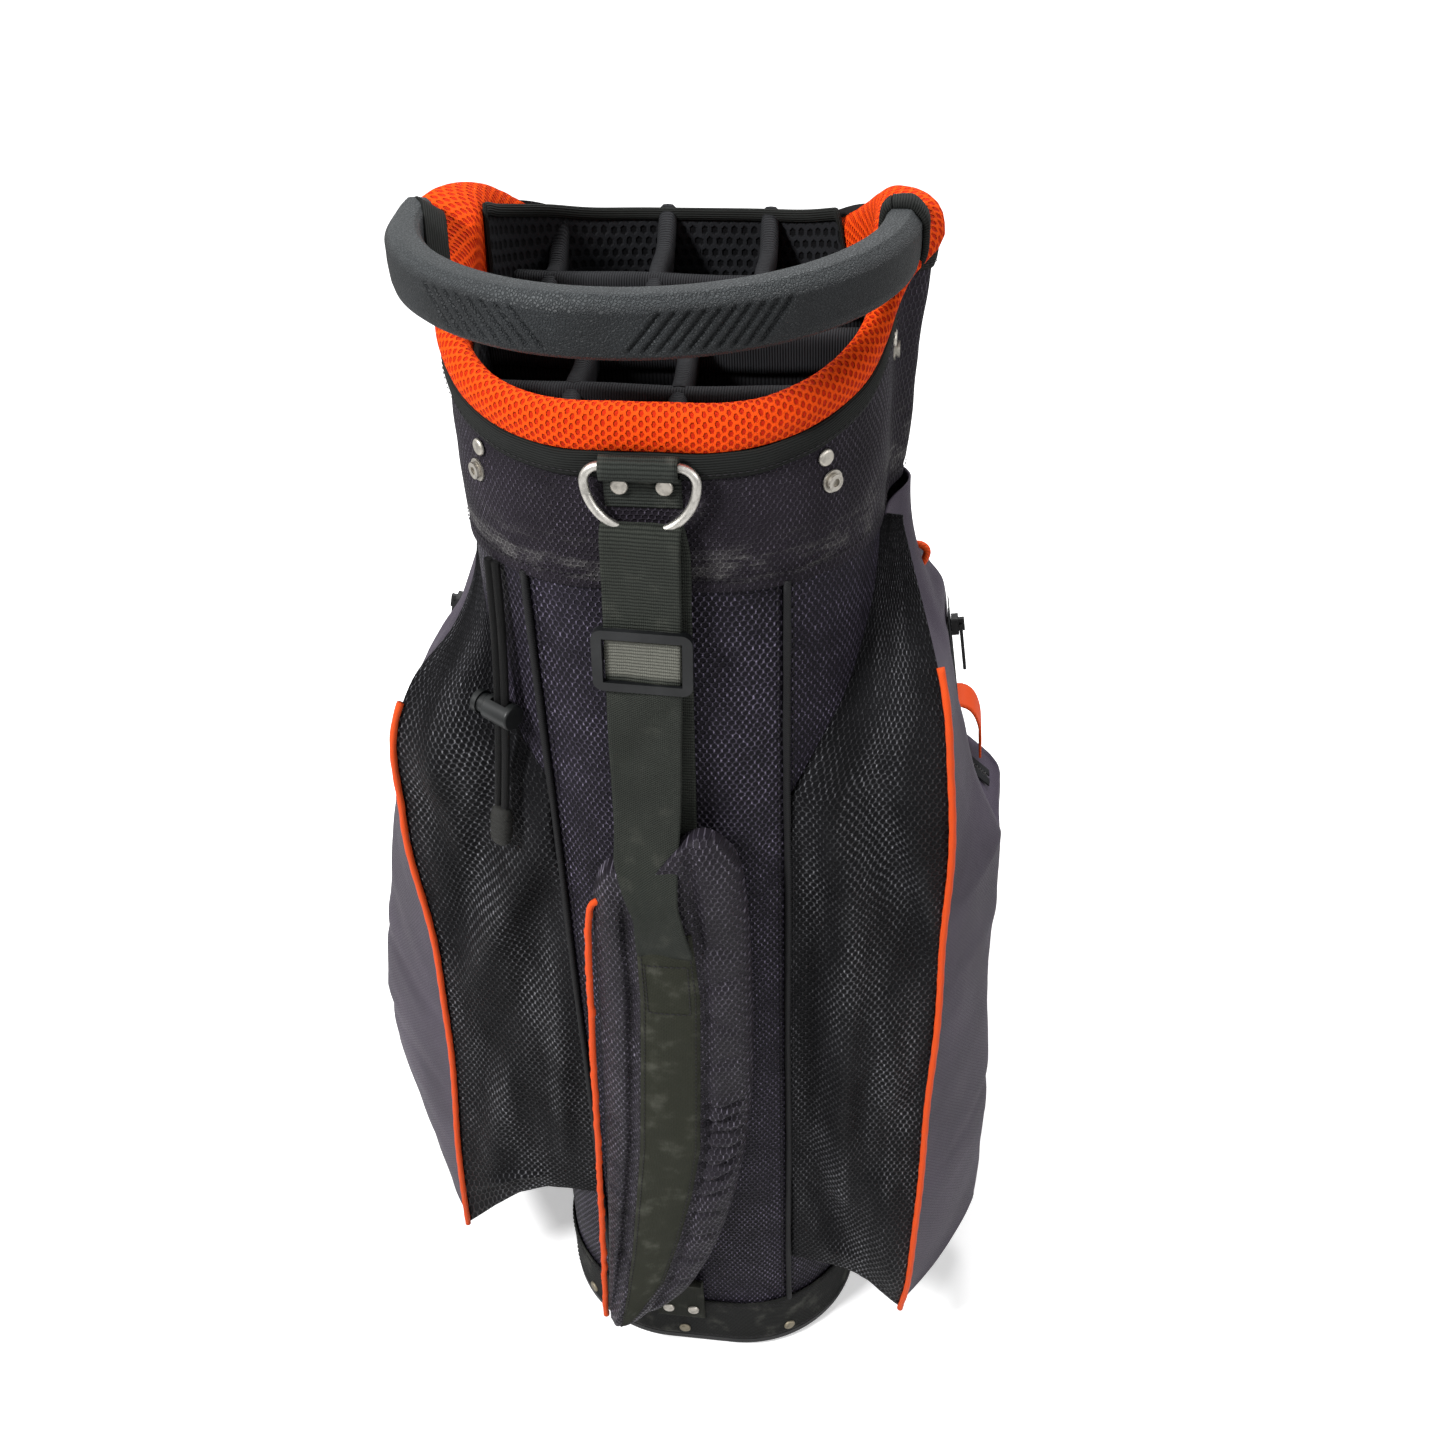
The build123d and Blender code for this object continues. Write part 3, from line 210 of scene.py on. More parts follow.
def hexagons(u, v, pitch, stretch):
    """How far in from the nearest cell edge, 0 to 0.5, and 1 where that edge is upright. stretch makes cells taller."""
    row = pitch * 1.732 * stretch
    ax, ay = (u / pitch).fract() - 0.5, ((v / row).fract() - 0.5) * 1.732
    bx, by = (u / pitch + 0.5).fract() - 0.5, ((v / row + 0.5).fract() - 0.5) * 1.732
    pick = (ax * ax + ay * ay).under(bx * bx + by * by)
    gx = (ax * pick + bx * (1 - pick)).abs()
    gy = (ay * pick + by * (1 - pick)).abs()
    return 0.5 - gx.most(gx * 0.5 + gy * 0.866), (gx * 0.5 - gy * 0.866).ramp(-0.12, 0.06)


def hex_cloth(name, dark, light, pitch, stretch, wear, level, gloss=0.36, scuff=0.0, painted_fold_sheen=0.0):
    """Woven cloth with raised hexagons: dark hollows, and on the walls of the cells a painted glint in the light
    colour.

    wear and scuff grey it, all over and in a band above its lower edge; the last argument draws the painted sheen on
    the glint out into vertical bands, as on folds."""
    f = Finish(name)
    u, v = f.uv()
    flat = f.join(u, v)
    wobble = (f.noise(flat, 0.05, 2.0) - 0.5) * 2.4
    edge, upright = hexagons(u + wobble, v + wobble, pitch, stretch)
    wall = 1 - edge.ramp(0.03, 0.20)
    dash = comb(v, 0.75) * 0.5 + comb(u, 0.9) * 0.5
    cast = f.noise(flat, 0.011, 4.0)
    # Spots of painted sparkle on the glint; they also make the cloth a little rougher.
    sparkle = f.noise(flat, 0.55, 3.0, 0.7).ramp(0.42, 0.72)
    # Painted sheen: soft blotches, drawn out into vertical bands as the last argument grows, that brighten the painted
    # glint as lamps would on folds.
    painted_sheen = (f.noise(f.join(u, v * 0.28), 0.026, 3.0).ramp(0.40, 0.66) * painted_fold_sheen
             + f.noise(flat, 0.035, 3.0).ramp(0.32, 0.68) * (1 - painted_fold_sheen))
    # The glint is a painted highlight: the light colour laid on the walls of the cells, most on the upright ones,
    # flecked with painted sparkle and brightened in blotches of painted sheen.
    glint = (wall * (0.22 + upright * 0.78) * (0.25 + dash * 0.75) * (0.16 + sparkle * 1.05)
             * (0.30 - 0.16 * painted_fold_sheen + painted_sheen * (0.9 + 0.45 * painted_fold_sheen)))
    base = f.mix(cast.ramp(0.3, 0.72), dark, [min(1.0, c * 2.1 + 0.002) for c in dark])
    colour = f.mix(glint.clamp(), base, light)
    rubbed = f.noise(flat, 0.03, 5.0, 0.7).ramp(0.60, 0.82) * wear
    colour = f.mix(rubbed * (0.3 + 0.7 * wall), colour, (0.11, 0.105, 0.105))
    if scuff:
        rub = f.noise(f.join(u * 0.30, v), 0.11, 4.0, 0.7).ramp(0.44, 0.72)
        band = v.ramp(4.0, 9.0) * (1 - v.ramp(14.0, 36.0)) * rub
        colour = f.mix(band * scuff * (0.35 + 0.65 * wall), colour, (0.17, 0.165, 0.16))
    normal = f.bump(wall * 1.0 + dash * wall * 0.5, 0.6)
    normal = f.bump(cast, 2.0, normal)
    rough = gloss + (1 - wall) * 0.25 + rubbed * 0.3 + sparkle * 0.08
    return f.surface(colour, rough, normal, level=level)


def ripstop(name, dark, light, pitch=2.6):
    """Fine plain cloth with a diagonal grid of thicker threads."""
    f = Finish(name)
    u, v = f.uv()
    flat = f.join(u, v)
    first, second = (u + v * 0.82), (u - v * 0.82)
    grid = (1 - comb(first, pitch).ramp(0.0, 0.42)).most(1 - comb(second, pitch).ramp(0.0, 0.42))
    fine = comb(u, 0.55) * comb(v, 0.55)
    cast = f.noise(flat, 0.010, 4.0)
    colour = f.mix(cast.ramp(0.3, 0.75), dark, light)
    colour = f.mix(grid * 0.26, colour, [c * 0.45 for c in dark])
    normal = f.bump(1 - grid + fine * 0.3, 0.12)
    normal = f.bump(cast, 1.4, normal)
    return f.surface(colour, 0.5 + grid * 0.15, normal, level=0.12)


def spacer_mesh(name, peak, hollow, pitch=5.2, stretch=0.62, depth=1.3):
    """Padded spacer mesh: oval holes in offset rows, with soft thread between them, and painted shade in the holes."""
    f = Finish(name)
    u, v = f.uv()
    flat = f.join(u, v)
    wobble = (f.noise(flat, 0.12, 2.0) - 0.5) * 1.2
    edge, _ = hexagons(u + wobble, v - wobble, pitch, stretch)
    hole = edge.ramp(0.13, 0.30)
    thread = comb(u + v * 0.6, 0.7) * 0.5 + comb(u - v * 0.6, 0.7) * 0.5
    cast = f.noise(flat, 0.018, 3.0)
    fuzz = f.noise(flat, 1.4, 3.0)
    colour = f.mix((thread * 0.4 + cast * 0.4 + fuzz * 0.25).clamp(), [c * 0.72 for c in peak], peak)
    # The holes take the hollow colour: painted shade inside them.
    colour = f.mix((hole * (0.75 + cast * 0.3)).clamp(), colour, hollow)
    normal = f.bump((1 - hole) + thread * 0.15 + fuzz * 0.15, depth)
    return f.surface(colour, 0.8 - hole * 0.1, normal, level=0.08)


def webbing(name, dark, light, cross=1.7, slant=0.0, dust=0.2):
    """Flat woven strap: cross ribs, or a slanted weave, with dusty patches."""
    f = Finish(name)
    u, v = f.uv()
    flat = f.join(u, v)
    if slant:
        weave = comb(v + u * slant, cross) * 0.6 + comb(v - u * slant, cross) * 0.4
    else:
        weave = comb(v + f.noise(flat, 0.2, 1.0) * 0.6, cross)
    yarn = comb(u, 1.15)
    cast = f.noise(flat, 0.05, 4.0)
    fluff = f.noise(flat, 0.7, 3.0)
    colour = f.mix((weave * 0.55 + yarn * 0.2 + cast * 0.35 - 0.12).clamp(), dark, light)
    colour = f.mix(cast.ramp(0.5, 0.75) * dust, colour, (0.20, 0.20, 0.17))
    normal = f.bump(weave + yarn * 0.35 + fluff * 0.2, 0.45)
    return f.surface(colour, 0.66 + fluff * 0.15, normal, level=0.12)


def tape(name, dark, light, pitch):
    """Ribbed binding tape; the ribs run across the length."""
    f = Finish(name)
    u, v = f.uv()
    flat = f.join(u, v)
    rib = comb(u, pitch)
    fuzz = f.noise(flat, 0.9, 3.0)
    cast = f.noise(flat, 0.03, 3.0)
    colour = f.mix((rib * 0.5 + cast * 0.5 - 0.1).clamp(), dark, light)
    return f.surface(colour, 0.7, f.bump(rib + fuzz * 0.4, 0.4), level=0.09)


def moulded(name, colour, rough, grain):
    """Moulded plastic or rubber; grain is the depth of its texture in millimetres."""
    f = Finish(name)
    x, y, z = f.place()
    at = f.join(x, y, z)
    fine = f.noise(at, 1.6, 4.0)
    cast = f.noise(at, 0.03, 4.0)
    tone = f.mix(cast.ramp(0.35, 0.7), colour, [min(1.0, c * 1.8 + 0.006) for c in colour])
    return f.surface(tone, rough + cast * 0.15, f.bump(fine, grain), level=0.3)


def nickel(name, colour, rough):
    """Plated metal, clouded and a little pitted."""
    f = Finish(name)
    x, y, z = f.place()
    at = f.join(x, y, z)
    cloud = f.noise(at, 0.25, 5.0, 0.65)
    pit = f.noise(at, 2.5, 3.0).ramp(0.6, 0.8)
    tone = f.mix(cloud.ramp(0.4, 0.75), colour, [c * 0.55 for c in colour])
    return f.surface(tone, rough + cloud * 0.25 + pit * 0.15, f.bump(pit * -1.0 + cloud * 0.4, 0.08), metal=1.0)


def leather_rubber(name):
    """Dark grey grained rubber, with painted light on its top and painted shade in the creases of its grain."""
    f = Finish(name)
    x, y, z = f.place()
    at = f.join(x, y, z)
    shift = f.noise(at, 0.5, 2.0) * 0.8
    pebble = f.cells(f.join(x + shift, y + shift, z + shift), 0.62, "DISTANCE_TO_EDGE")
    crease = pebble.ramp(0.0, 0.22)
    cast = f.noise(at, 0.02, 4.0)
    fine = f.noise(at, 1.6, 3.0)
    tone = f.mix(cast.ramp(0.35, 0.7), (0.0065, 0.0078, 0.0088), (0.0140, 0.0165, 0.0182))
    # The top of the grip is lighter: painted light falling from above.
    tone = f.mix((z - HANDLE_MIDDLE).ramp(9.0, 13.0) * 0.85, tone, (0.040, 0.0450, 0.0475))
    # Darker along the creases of the grain: painted shade.
    tone = f.mix((1 - crease) * 0.55, tone, (0.006, 0.007, 0.008))
    return f.surface(tone, 0.47 + fine * 0.12 + (1 - crease) * 0.1, f.bump(crease + fine * 0.25, 0.42), level=0.24)


def thread_finish(name, colour, pitch):
    """Twisted thread or cord."""
    f = Finish(name)
    u, v = f.uv()
    twist = comb(u + v * 0.7, pitch)
    tone = f.mix(twist * 0.7, [c * 0.6 for c in colour], colour)
    return f.surface(tone, 0.6, f.bump(twist, 0.25), level=0.2)


def make_finishes():
    """Every material, by the short name that the pieces use."""
    made = {}
    # In each hex cloth the second colour is that of its painted glint.
    made["tube"] = hex_cloth("tube_cloth", (0.0035, 0.0028, 0.0050), (0.380, 0.330, 0.480), pitch=4.2, stretch=0.9,
                             wear=0.10, level=0.10, painted_fold_sheen=0.35)
    made["cuff"] = hex_cloth("cuff_cloth", (0.0062, 0.0048, 0.0072), (0.150, 0.128, 0.175), pitch=3.6, stretch=0.8,
                             wear=0.75, gloss=0.48, level=0.10, scuff=0.8)
    made["mesh"] = hex_cloth("pocket_mesh", (0.0022, 0.0022, 0.0027), (0.360, 0.360, 0.390), pitch=4.6, stretch=0.9,
                             wear=0.04, level=0.07, painted_fold_sheen=0.9)
    made["pad"] = hex_cloth("pad_cloth", (0.0060, 0.0048, 0.0072), (0.340, 0.305, 0.390), pitch=4.0, stretch=1.0,
                            wear=0.3, gloss=0.32, level=0.16, painted_fold_sheen=0.4)
    made["side"] = ripstop("side_cloth", (0.0360, 0.0285, 0.0420), (0.0640, 0.0520, 0.0740))
    made["pouch"] = ripstop("pouch_cloth", (0.052, 0.040, 0.063), (0.076, 0.061, 0.091), pitch=2.0)
    # The second colour of each spacer mesh is the painted shade in its holes.
    made["orange"] = spacer_mesh("orange_mesh", (0.93, 0.080, 0.0045), (0.46, 0.012, 0.0015))
    made["black_mesh"] = spacer_mesh("black_mesh", (0.0135, 0.0140, 0.0160), (0.0015, 0.0015, 0.0018), pitch=6.0)
    made["knit"] = tape("divider_knit", (0.0025, 0.0025, 0.0030), (0.0300, 0.0310, 0.0340), pitch=1.5)
    made["lining"] = tape("lining", (0.002, 0.002, 0.0025), (0.007, 0.007, 0.008), pitch=2.2)
    made["binding"] = tape("binding_tape", (0.0030, 0.0034, 0.0031), (0.0200, 0.0215, 0.0200), pitch=1.4)
    made["band"] = webbing("band_webbing", (0.0030, 0.0030, 0.0030), (0.0150, 0.0155, 0.0145), cross=2.0, slant=0.5,
                           dust=0.22)
    made["web_top"] = strap_weave()
    made["web_low"] = webbing("twill_webbing", (0.0045, 0.0050, 0.0040), (0.030, 0.032, 0.024), cross=1.5, slant=0.6)
    made["web_pad"] = webbing("pad_webbing", (0.0050, 0.0055, 0.0040), (0.036, 0.038, 0.025), cross=1.3, slant=0.35,
                              dust=0.22)
    made["tab_web"] = webbing("tab_webbing", (0.0050, 0.0060, 0.0052), (0.036, 0.040, 0.035), cross=2.0)
    made["seam"] = thread_finish("seam_piping", (0.0075, 0.0075, 0.0085), 1.6)
    made["orange_cord"] = thread_finish("orange_piping", (0.93, 0.095, 0.010), 0.9)
    made["elastic"] = thread_finish("elastic", (0.0070, 0.0070, 0.0072), 0.9)
    made["fray"] = thread_finish("crimp", (0.020, 0.020, 0.018), 1.5)
    made["black"] = moulded("moulded_black", (0.0045, 0.0045, 0.0050), 0.45, 0.05)
    made["gloss"] = moulded("glossy_black", (0.0050, 0.0055, 0.0060), 0.24, 0.02)
    made["lock"] = moulded("lock_black", (0.0060, 0.0068, 0.0068), 0.32, 0.03)
    made["foot"] = moulded("foot_rubber", (0.006, 0.006, 0.006), 0.7, 0.1)
    made["nickel"] = nickel("satin_nickel", (0.50, 0.47, 0.42), 0.30)
    made["ring"] = nickel("ring_nickel", (0.56, 0.54, 0.50), 0.27)
    made["brass"] = nickel("dull_brass", (0.26, 0.23, 0.17), 0.42)
    made["grip"] = leather_rubber("grip_rubber")
    made["stitch"] = thread_finish("stitching", (0.020, 0.018, 0.021), 0.6)
    made["orange_tab"] = thread_finish("orange_tab", (0.90, 0.085, 0.008), 2.0)
    made["teeth"] = moulded("zip_teeth", (0.006, 0.006, 0.0065), 0.35, 0.02)
    return made


def strap_weave():
    """Cross-ribbed webbing near the ring, a dusty stretch at the buckle, and a slanted weave below it."""
    f = Finish("strap_webbing")
    u, v = f.uv()
    flat = f.join(u, v)
    ribbed = comb(v + f.noise(flat, 0.2, 1.0) * 0.6, 2.0)
    twill = comb(v + u * 0.6, 1.5) * 0.6 + comb(v - u * 0.6, 1.5) * 0.4
    low = (v - 312.0).ramp(0.0, 6.0)
    weave = ribbed * (1 - low) + twill * low
    yarn = comb(u, 1.15)
    cast, fluff = f.noise(flat, 0.05, 4.0), f.noise(flat, 0.7, 3.0)
    colour = f.mix((weave * 0.55 + yarn * 0.2 + cast * 0.35 - 0.12).clamp(), (0.0048, 0.0058, 0.0050),
                   (0.037, 0.041, 0.034))
    dust = (v - 284.0).ramp(0.0, 4.0) * (1 - (v - 308.0).ramp(0.0, 4.0))
    colour = f.mix((dust * (0.35 + ribbed * 0.45 + fluff * 0.3)).clamp() * 0.8, colour, (0.17, 0.17, 0.145))
    colour = f.mix(cast.ramp(0.55, 0.75) * 0.15, colour, (0.12, 0.12, 0.10))
    normal = f.bump(weave + yarn * 0.35 + fluff * 0.2, 0.5)
    return f.surface(colour, 0.64 + fluff * 0.15, normal, level=0.12)


# ---------------------------------------------------------------- mesh making
def distances(points):
    """How far along a line each of its points lies."""
    return np.concatenate([[0], np.cumsum(np.linalg.norm(np.diff(points, axis=0), axis=1))])


def evenly(points, count, endpoint=True):
    """Points spaced evenly along the straight runs between the given ones."""
    points = np.asarray(points, float)
    length = distances(points)
    at = np.linspace(0, length[-1], count, endpoint=endpoint)
    return np.stack([np.interp(at, length, points[:, k]) for k in range(points.shape[1])], -1)


def closed_round(loops):
    """Loops with the first point of each repeated at its end."""
    return np.concatenate([loops, loops[:, :1]], axis=1)


def settle(thing, body, finish, *nodes, slot):
    """Gives a piece its finish and its body, and hides the CAD nodes that it stands for; slot is not used."""
    thing.data.materials.append(FINISH[finish])
    if thing.type == "MESH":
        thing.data.shade_smooth()
    if body:
        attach(thing, body)
    if nodes:
        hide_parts(*nodes)
    return thing


def mesh_piece(name, points, faces, uvs=None):
    """A piece from points in millimetres; uvs are per point, in millimetres."""
    data = bpy.data.meshes.new(name)
    data.from_pydata([tuple(p) for p in np.asarray(points, float) * MM], [], [tuple(map(int, f)) for f in faces])
    if uvs is not None:
        layer = data.uv_layers.new(name="UVMap")
        loops = np.empty(len(data.loops), int)
        data.loops.foreach_get("vertex_index", loops)
        layer.data.foreach_set("uv", (np.asarray(uvs, float)[loops] * MM).ravel())
    thing = bpy.data.objects.new(name, data)
    bpy.context.collection.objects.link(thing)
    return thing


def quads(rows, columns, start=0):
    """Faces of a grid of rows by columns."""
    i, j = np.meshgrid(np.arange(rows - 1), np.arange(columns - 1), indexing="ij")
    a = i * columns + j + start
    return np.stack([a, a + 1, a + 1 + columns, a + columns], -1).reshape(-1, 4).tolist()


def grid_uv(grid):
    """Surface coordinates of a grid from its own lengths: u along the columns and v along the rows."""
    middle = grid[grid.shape[0] // 2]
    u = distances(middle)
    side = grid[:, grid.shape[1] // 2]
    v = distances(side)
    return np.stack(np.meshgrid(u, v, indexing="xy"), -1).reshape(-1, 2)


def normals_of(grid):
    """Unit normals of a grid at each of its points."""
    du = np.gradient(grid, axis=1)
    dv = np.gradient(grid, axis=0)
    n = np.cross(du, dv)
    return n / np.maximum(np.linalg.norm(n, axis=2, keepdims=True), 1e-9)


def cloth_sheet(name, grid, thickness=1.2, uvs=None, inner=None):
    """A closed sheet of cloth: the outer face is the grid, whose normals point out, the inner one lies under it."""
    rows, columns = grid.shape[:2]
    n = rows * columns
    if inner is None:
        inner = grid - normals_of(grid) * thickness
    points = np.concatenate([grid.reshape(-1, 3), inner.reshape(-1, 3)])
    edge = (list(range(columns)) + [i * columns + columns - 1 for i in range(1, rows)]
            + [(rows - 1) * columns + j for j in range(columns - 2, -1, -1)]
            + [i * columns for i in range(rows - 2, 0, -1)])
    faces = quads(rows, columns) + [f[::-1] for f in quads(rows, columns, start=n)]
    faces += [(b, a, a + n, b + n) for a, b in zip(edge, edge[1:] + edge[:1])]
    flat = grid_uv(grid) if uvs is None else uvs.reshape(-1, 2)
    return mesh_piece(name, points, faces, np.concatenate([flat, flat]))


def ribbon(name, points, count, axis, across, thickness):
    """A flat strip along a smooth line; across holds its width as places on one axis."""
    line = smooth_curve(points, count)
    grid = np.repeat(line[:, None, :], len(across), axis=1)
    grid[..., axis] = across
    return cloth_sheet(name, grid, thickness)


def ring_shell(name, loops):
    """A closed tube of closed loops joined end to end, such as a rim whose section is a closed curve.

    loops is sections x points of a section x 3, and the sections go all the way round."""
    sections, around = loops.shape[:2]
    wrapped = closed_round(np.concatenate([loops, loops[:1]]))
    thing = mesh_piece(name, wrapped.reshape(-1, 3), quads(sections + 1, around + 1), grid_uv(wrapped))
    weld(thing)
    return thing


def weld(thing, fill=False):
    """Joins points that coincide and turns the faces outwards; fill first closes what is still open."""
    made = bmesh.new()
    made.from_mesh(thing.data)
    bmesh.ops.remove_doubles(made, verts=made.verts, dist=WELD_GAP)
    open_edges = [e for e in made.edges if e.is_boundary] if fill else []
    if open_edges:
        bmesh.ops.holes_fill(made, edges=open_edges, sides=0)
    bmesh.ops.recalc_face_normals(made, faces=made.faces)
    made.to_mesh(thing.data)
    made.free()


def frames_along(path):
    """Two cross directions along a path, turning as little as possible."""
    path = np.asarray(path, float)
    tangent = np.gradient(path, axis=0)
    tangent /= np.linalg.norm(tangent, axis=1, keepdims=True)
    side = np.cross(tangent[0], (0, 0, 1) if abs(tangent[0][2]) < 0.9 else (0, 1, 0))
    side /= np.linalg.norm(side)
    sides = []
    for t in tangent:
        side = side - t * np.dot(side, t)
        side /= np.linalg.norm(side)
        sides.append(side)
    sides = np.array(sides)
    return sides, np.cross(tangent, sides)


def tube_along(name, path, radius):
    """A round tube along a path; radius is one number or one for each point."""
    path = np.asarray(path, float)
    radius = np.broadcast_to(np.asarray(radius, float), (len(path),))
    side, up = frames_along(path)
    turn = np.linspace(0, 2 * np.pi, TUBE_SIDES + 1)
    loops = (path[:, None] + radius[:, None, None]
             * (np.cos(turn)[None, :, None] * side[:, None] + np.sin(turn)[None, :, None] * up[:, None]))
    length = distances(path)
    uv = np.stack(np.meshgrid(turn * radius.mean(), length, indexing="xy"), -1)[..., ::-1].reshape(-1, 2)
    points, faces = loops.reshape(-1, 3), quads(len(path), TUBE_SIDES + 1)
    thing = mesh_piece(name, points, faces, uv)
    weld(thing, fill=True)
    return thing


def smooth_curve(points, count):
    """Points evenly along a Catmull-Rom curve through the given ones."""
    p = np.asarray(points, float)
    p = np.concatenate([[2 * p[0] - p[1]], p, [2 * p[-1] - p[-2]]])
    fine = []
    for a, b, c, d in zip(p, p[1:], p[2:], p[3:]):
        t = np.linspace(0, 1, 24, endpoint=False)[:, None]
        fine.append(0.5 * (2 * b + (c - a) * t + (2 * a - 5 * b + 4 * c - d) * t ** 2
                           + (3 * b - a - 3 * c + d) * t ** 3))
    return evenly(np.concatenate(fine + [p[-2:-1]]), count)


def table(keys, values, at):
    """A smooth reading of values kept at keys."""
    keys, values = np.asarray(keys, float), np.asarray(values, float)
    order = np.argsort(keys)
    keys, values = keys[order], values[order]
    slope = np.gradient(values, keys)
    at = np.clip(np.asarray(at, float), keys[0], keys[-1])
    i = np.clip(np.searchsorted(keys, at) - 1, 0, len(keys) - 2)
    h = keys[i + 1] - keys[i]
    t = (at - keys[i]) / h
    return ((2 * t ** 3 - 3 * t ** 2 + 1) * values[i] + (t ** 3 - 2 * t ** 2 + t) * h * slope[i]
            + (-2 * t ** 3 + 3 * t ** 2) * values[i + 1] + (t ** 3 - t ** 2) * h * slope[i + 1])


def waves(shape, seed, size, stretch=1.0):
    """Soft random undulation between -1 and 1 over a grid."""
    rng = np.random.default_rng(seed)
    rows, columns = shape
    total = np.zeros(shape)
    v, u = np.meshgrid(np.linspace(0, 1, rows), np.linspace(0, 1, columns), indexing="ij")
    for k in range(10):
        a, b = rng.uniform(-1, 1, 2) * size * (1 + k * 0.5)
        total += np.sin(a * u * 6.28 + b * stretch * v * 6.28 + rng.uniform(0, 6.28)) / (1 + k * 0.6)
    return total / np.abs(total).max()


def bell(gap, width):
    """A smooth hump: 1 where gap is 0, and fading over width."""
    return np.exp(-(gap / width) ** 2)


def climb(run, length):
    """An even climb from 0 to 1 over length."""
    return np.clip(run / length, 0, 1)


def fold(u, v, start, end, width, height):
    """A ridge or, with a negative height, a valley along a line on a surface, fading at its ends."""
    a, b = np.array(start, float), np.array(end, float)
    d = b - a
    length = np.linalg.norm(d)
    t = climb((u - a[0]) * d[0] + (v - a[1]) * d[1], length ** 2)
    gap = np.hypot(u - (a[0] + d[0] * t), v - (a[1] + d[1] * t))
    return height * bell(gap, width) * (0.35 + 0.65 * np.sin(np.pi * np.clip(t, 0.02, 0.98)) ** 0.5)


# ---------------------------------------------------------------- the tube's outline
HALF_X, HALF_Y, CORNER = 118.0, 116.0, 92.0


def wall(heading, grow):
    """Points of the tube's outline at headings in degrees, from the spine towards +X, and their outward normals."""
    h = np.radians(np.asarray(heading, float))
    grow = np.broadcast_to(np.asarray(grow, float), h.shape)
    dx, dy = np.sin(h), -np.cos(h)
    half_x, half_y, corner = HALF_X + grow, HALF_Y + grow, CORNER + grow
    flat_x, flat_y = half_x - corner, half_y - corner
    with np.errstate(divide="ignore", invalid="ignore"):
        side = np.abs(dx) > 1e-9
        on_side = side & (np.abs(dy / dx) * half_x <= flat_y)
        on_face = (np.abs(dx / dy) * half_y <= flat_x) & ~on_side
        reach_side = half_x / np.abs(dx)
        reach_face = half_y / np.abs(dy)
    cx, cy = np.sign(dx) * flat_x, np.sign(dy) * flat_y
    along = dx * cx + dy * cy
    reach_corner = along + np.sqrt(np.maximum(along ** 2 - cx ** 2 - cy ** 2 + corner ** 2, 0))
    reach = np.where(on_side, reach_side, np.where(on_face, reach_face, reach_corner))
    x, y = dx * reach, dy * reach
    nx = np.where(on_side, np.sign(dx), np.where(on_face, 0.0, (x - cx) / corner))
    ny = np.where(on_side, 0.0, np.where(on_face, np.sign(dy), (y - cy) / corner))
    return np.stack([x, y], -1), np.stack([nx, ny], -1)


# Heights at places along y: the cuff's upper edge, how much higher it is on the right, the crest of the orange padding
# and the top of the black inner wall.
EDGE = ((-150, -124, -100, -57, 0, 50, 105, 150), (797, 798, 806, 825, 845, 848, 838, 832))
RIGHT_CLIMB = ((-150, -90, -62, -40, -22, 0, 20, 50, 95, 150), (0, 0, 0, 7, 11, 13, 11, 4, 0, 0))
CREST = ((-150, -110, -75, -35, 0, 10, 25, 42, 60, 80, 100, 112, 150),
         (822, 825, 838, 855, 875, 883, 886, 883, 874, 860, 846, 843, 840))
LINING = ((-150, -35, 0, 17, 40, 60, 80, 100, 112, 150), (822, 855, 876, 879, 872, 866, 860, 852.5, 850, 846))


def edge_height(spots):
    """The height of the cuff's upper edge at places on plan; it climbs to the handle on the right."""
    x, y = spots[..., 0], spots[..., 1]
    return table(*EDGE, y) + (x > 0) * table(*RIGHT_CLIMB, y)


def flare(spots, z):
    """How far the cuff stands off the tube beside the handle's ends, mostly on the right."""
    x, y = spots[..., 0], spots[..., 1]
    return (np.where(x > 0, 1.0, 0.25) * bell(y - 28, 17)
            * np.interp(z, [720, 745, 800, 855], [9.0, 12.0, 13.5, 20.0]))


def wall_grid(headings, heights, grow):
    """A grid on the tube: rows are heights, columns are headings."""
    h, z = np.meshgrid(headings, heights, indexing="xy")
    spots, normal = wall(h, grow)
    return np.concatenate([spots, z[..., None]], -1), normal


def level_out(normal):
    """Directions on plan as directions in space."""
    return np.concatenate([normal, np.zeros((len(normal), 1))], -1)


def stand_off(spots, normal, lift, z):
    """A grid whose columns are spots on plan, moved out by lift, at the heights z."""
    return np.stack([spots[None, :, 0] + normal[None, :, 0] * lift, spots[None, :, 1] + normal[None, :, 1] * lift, z],
                    -1)


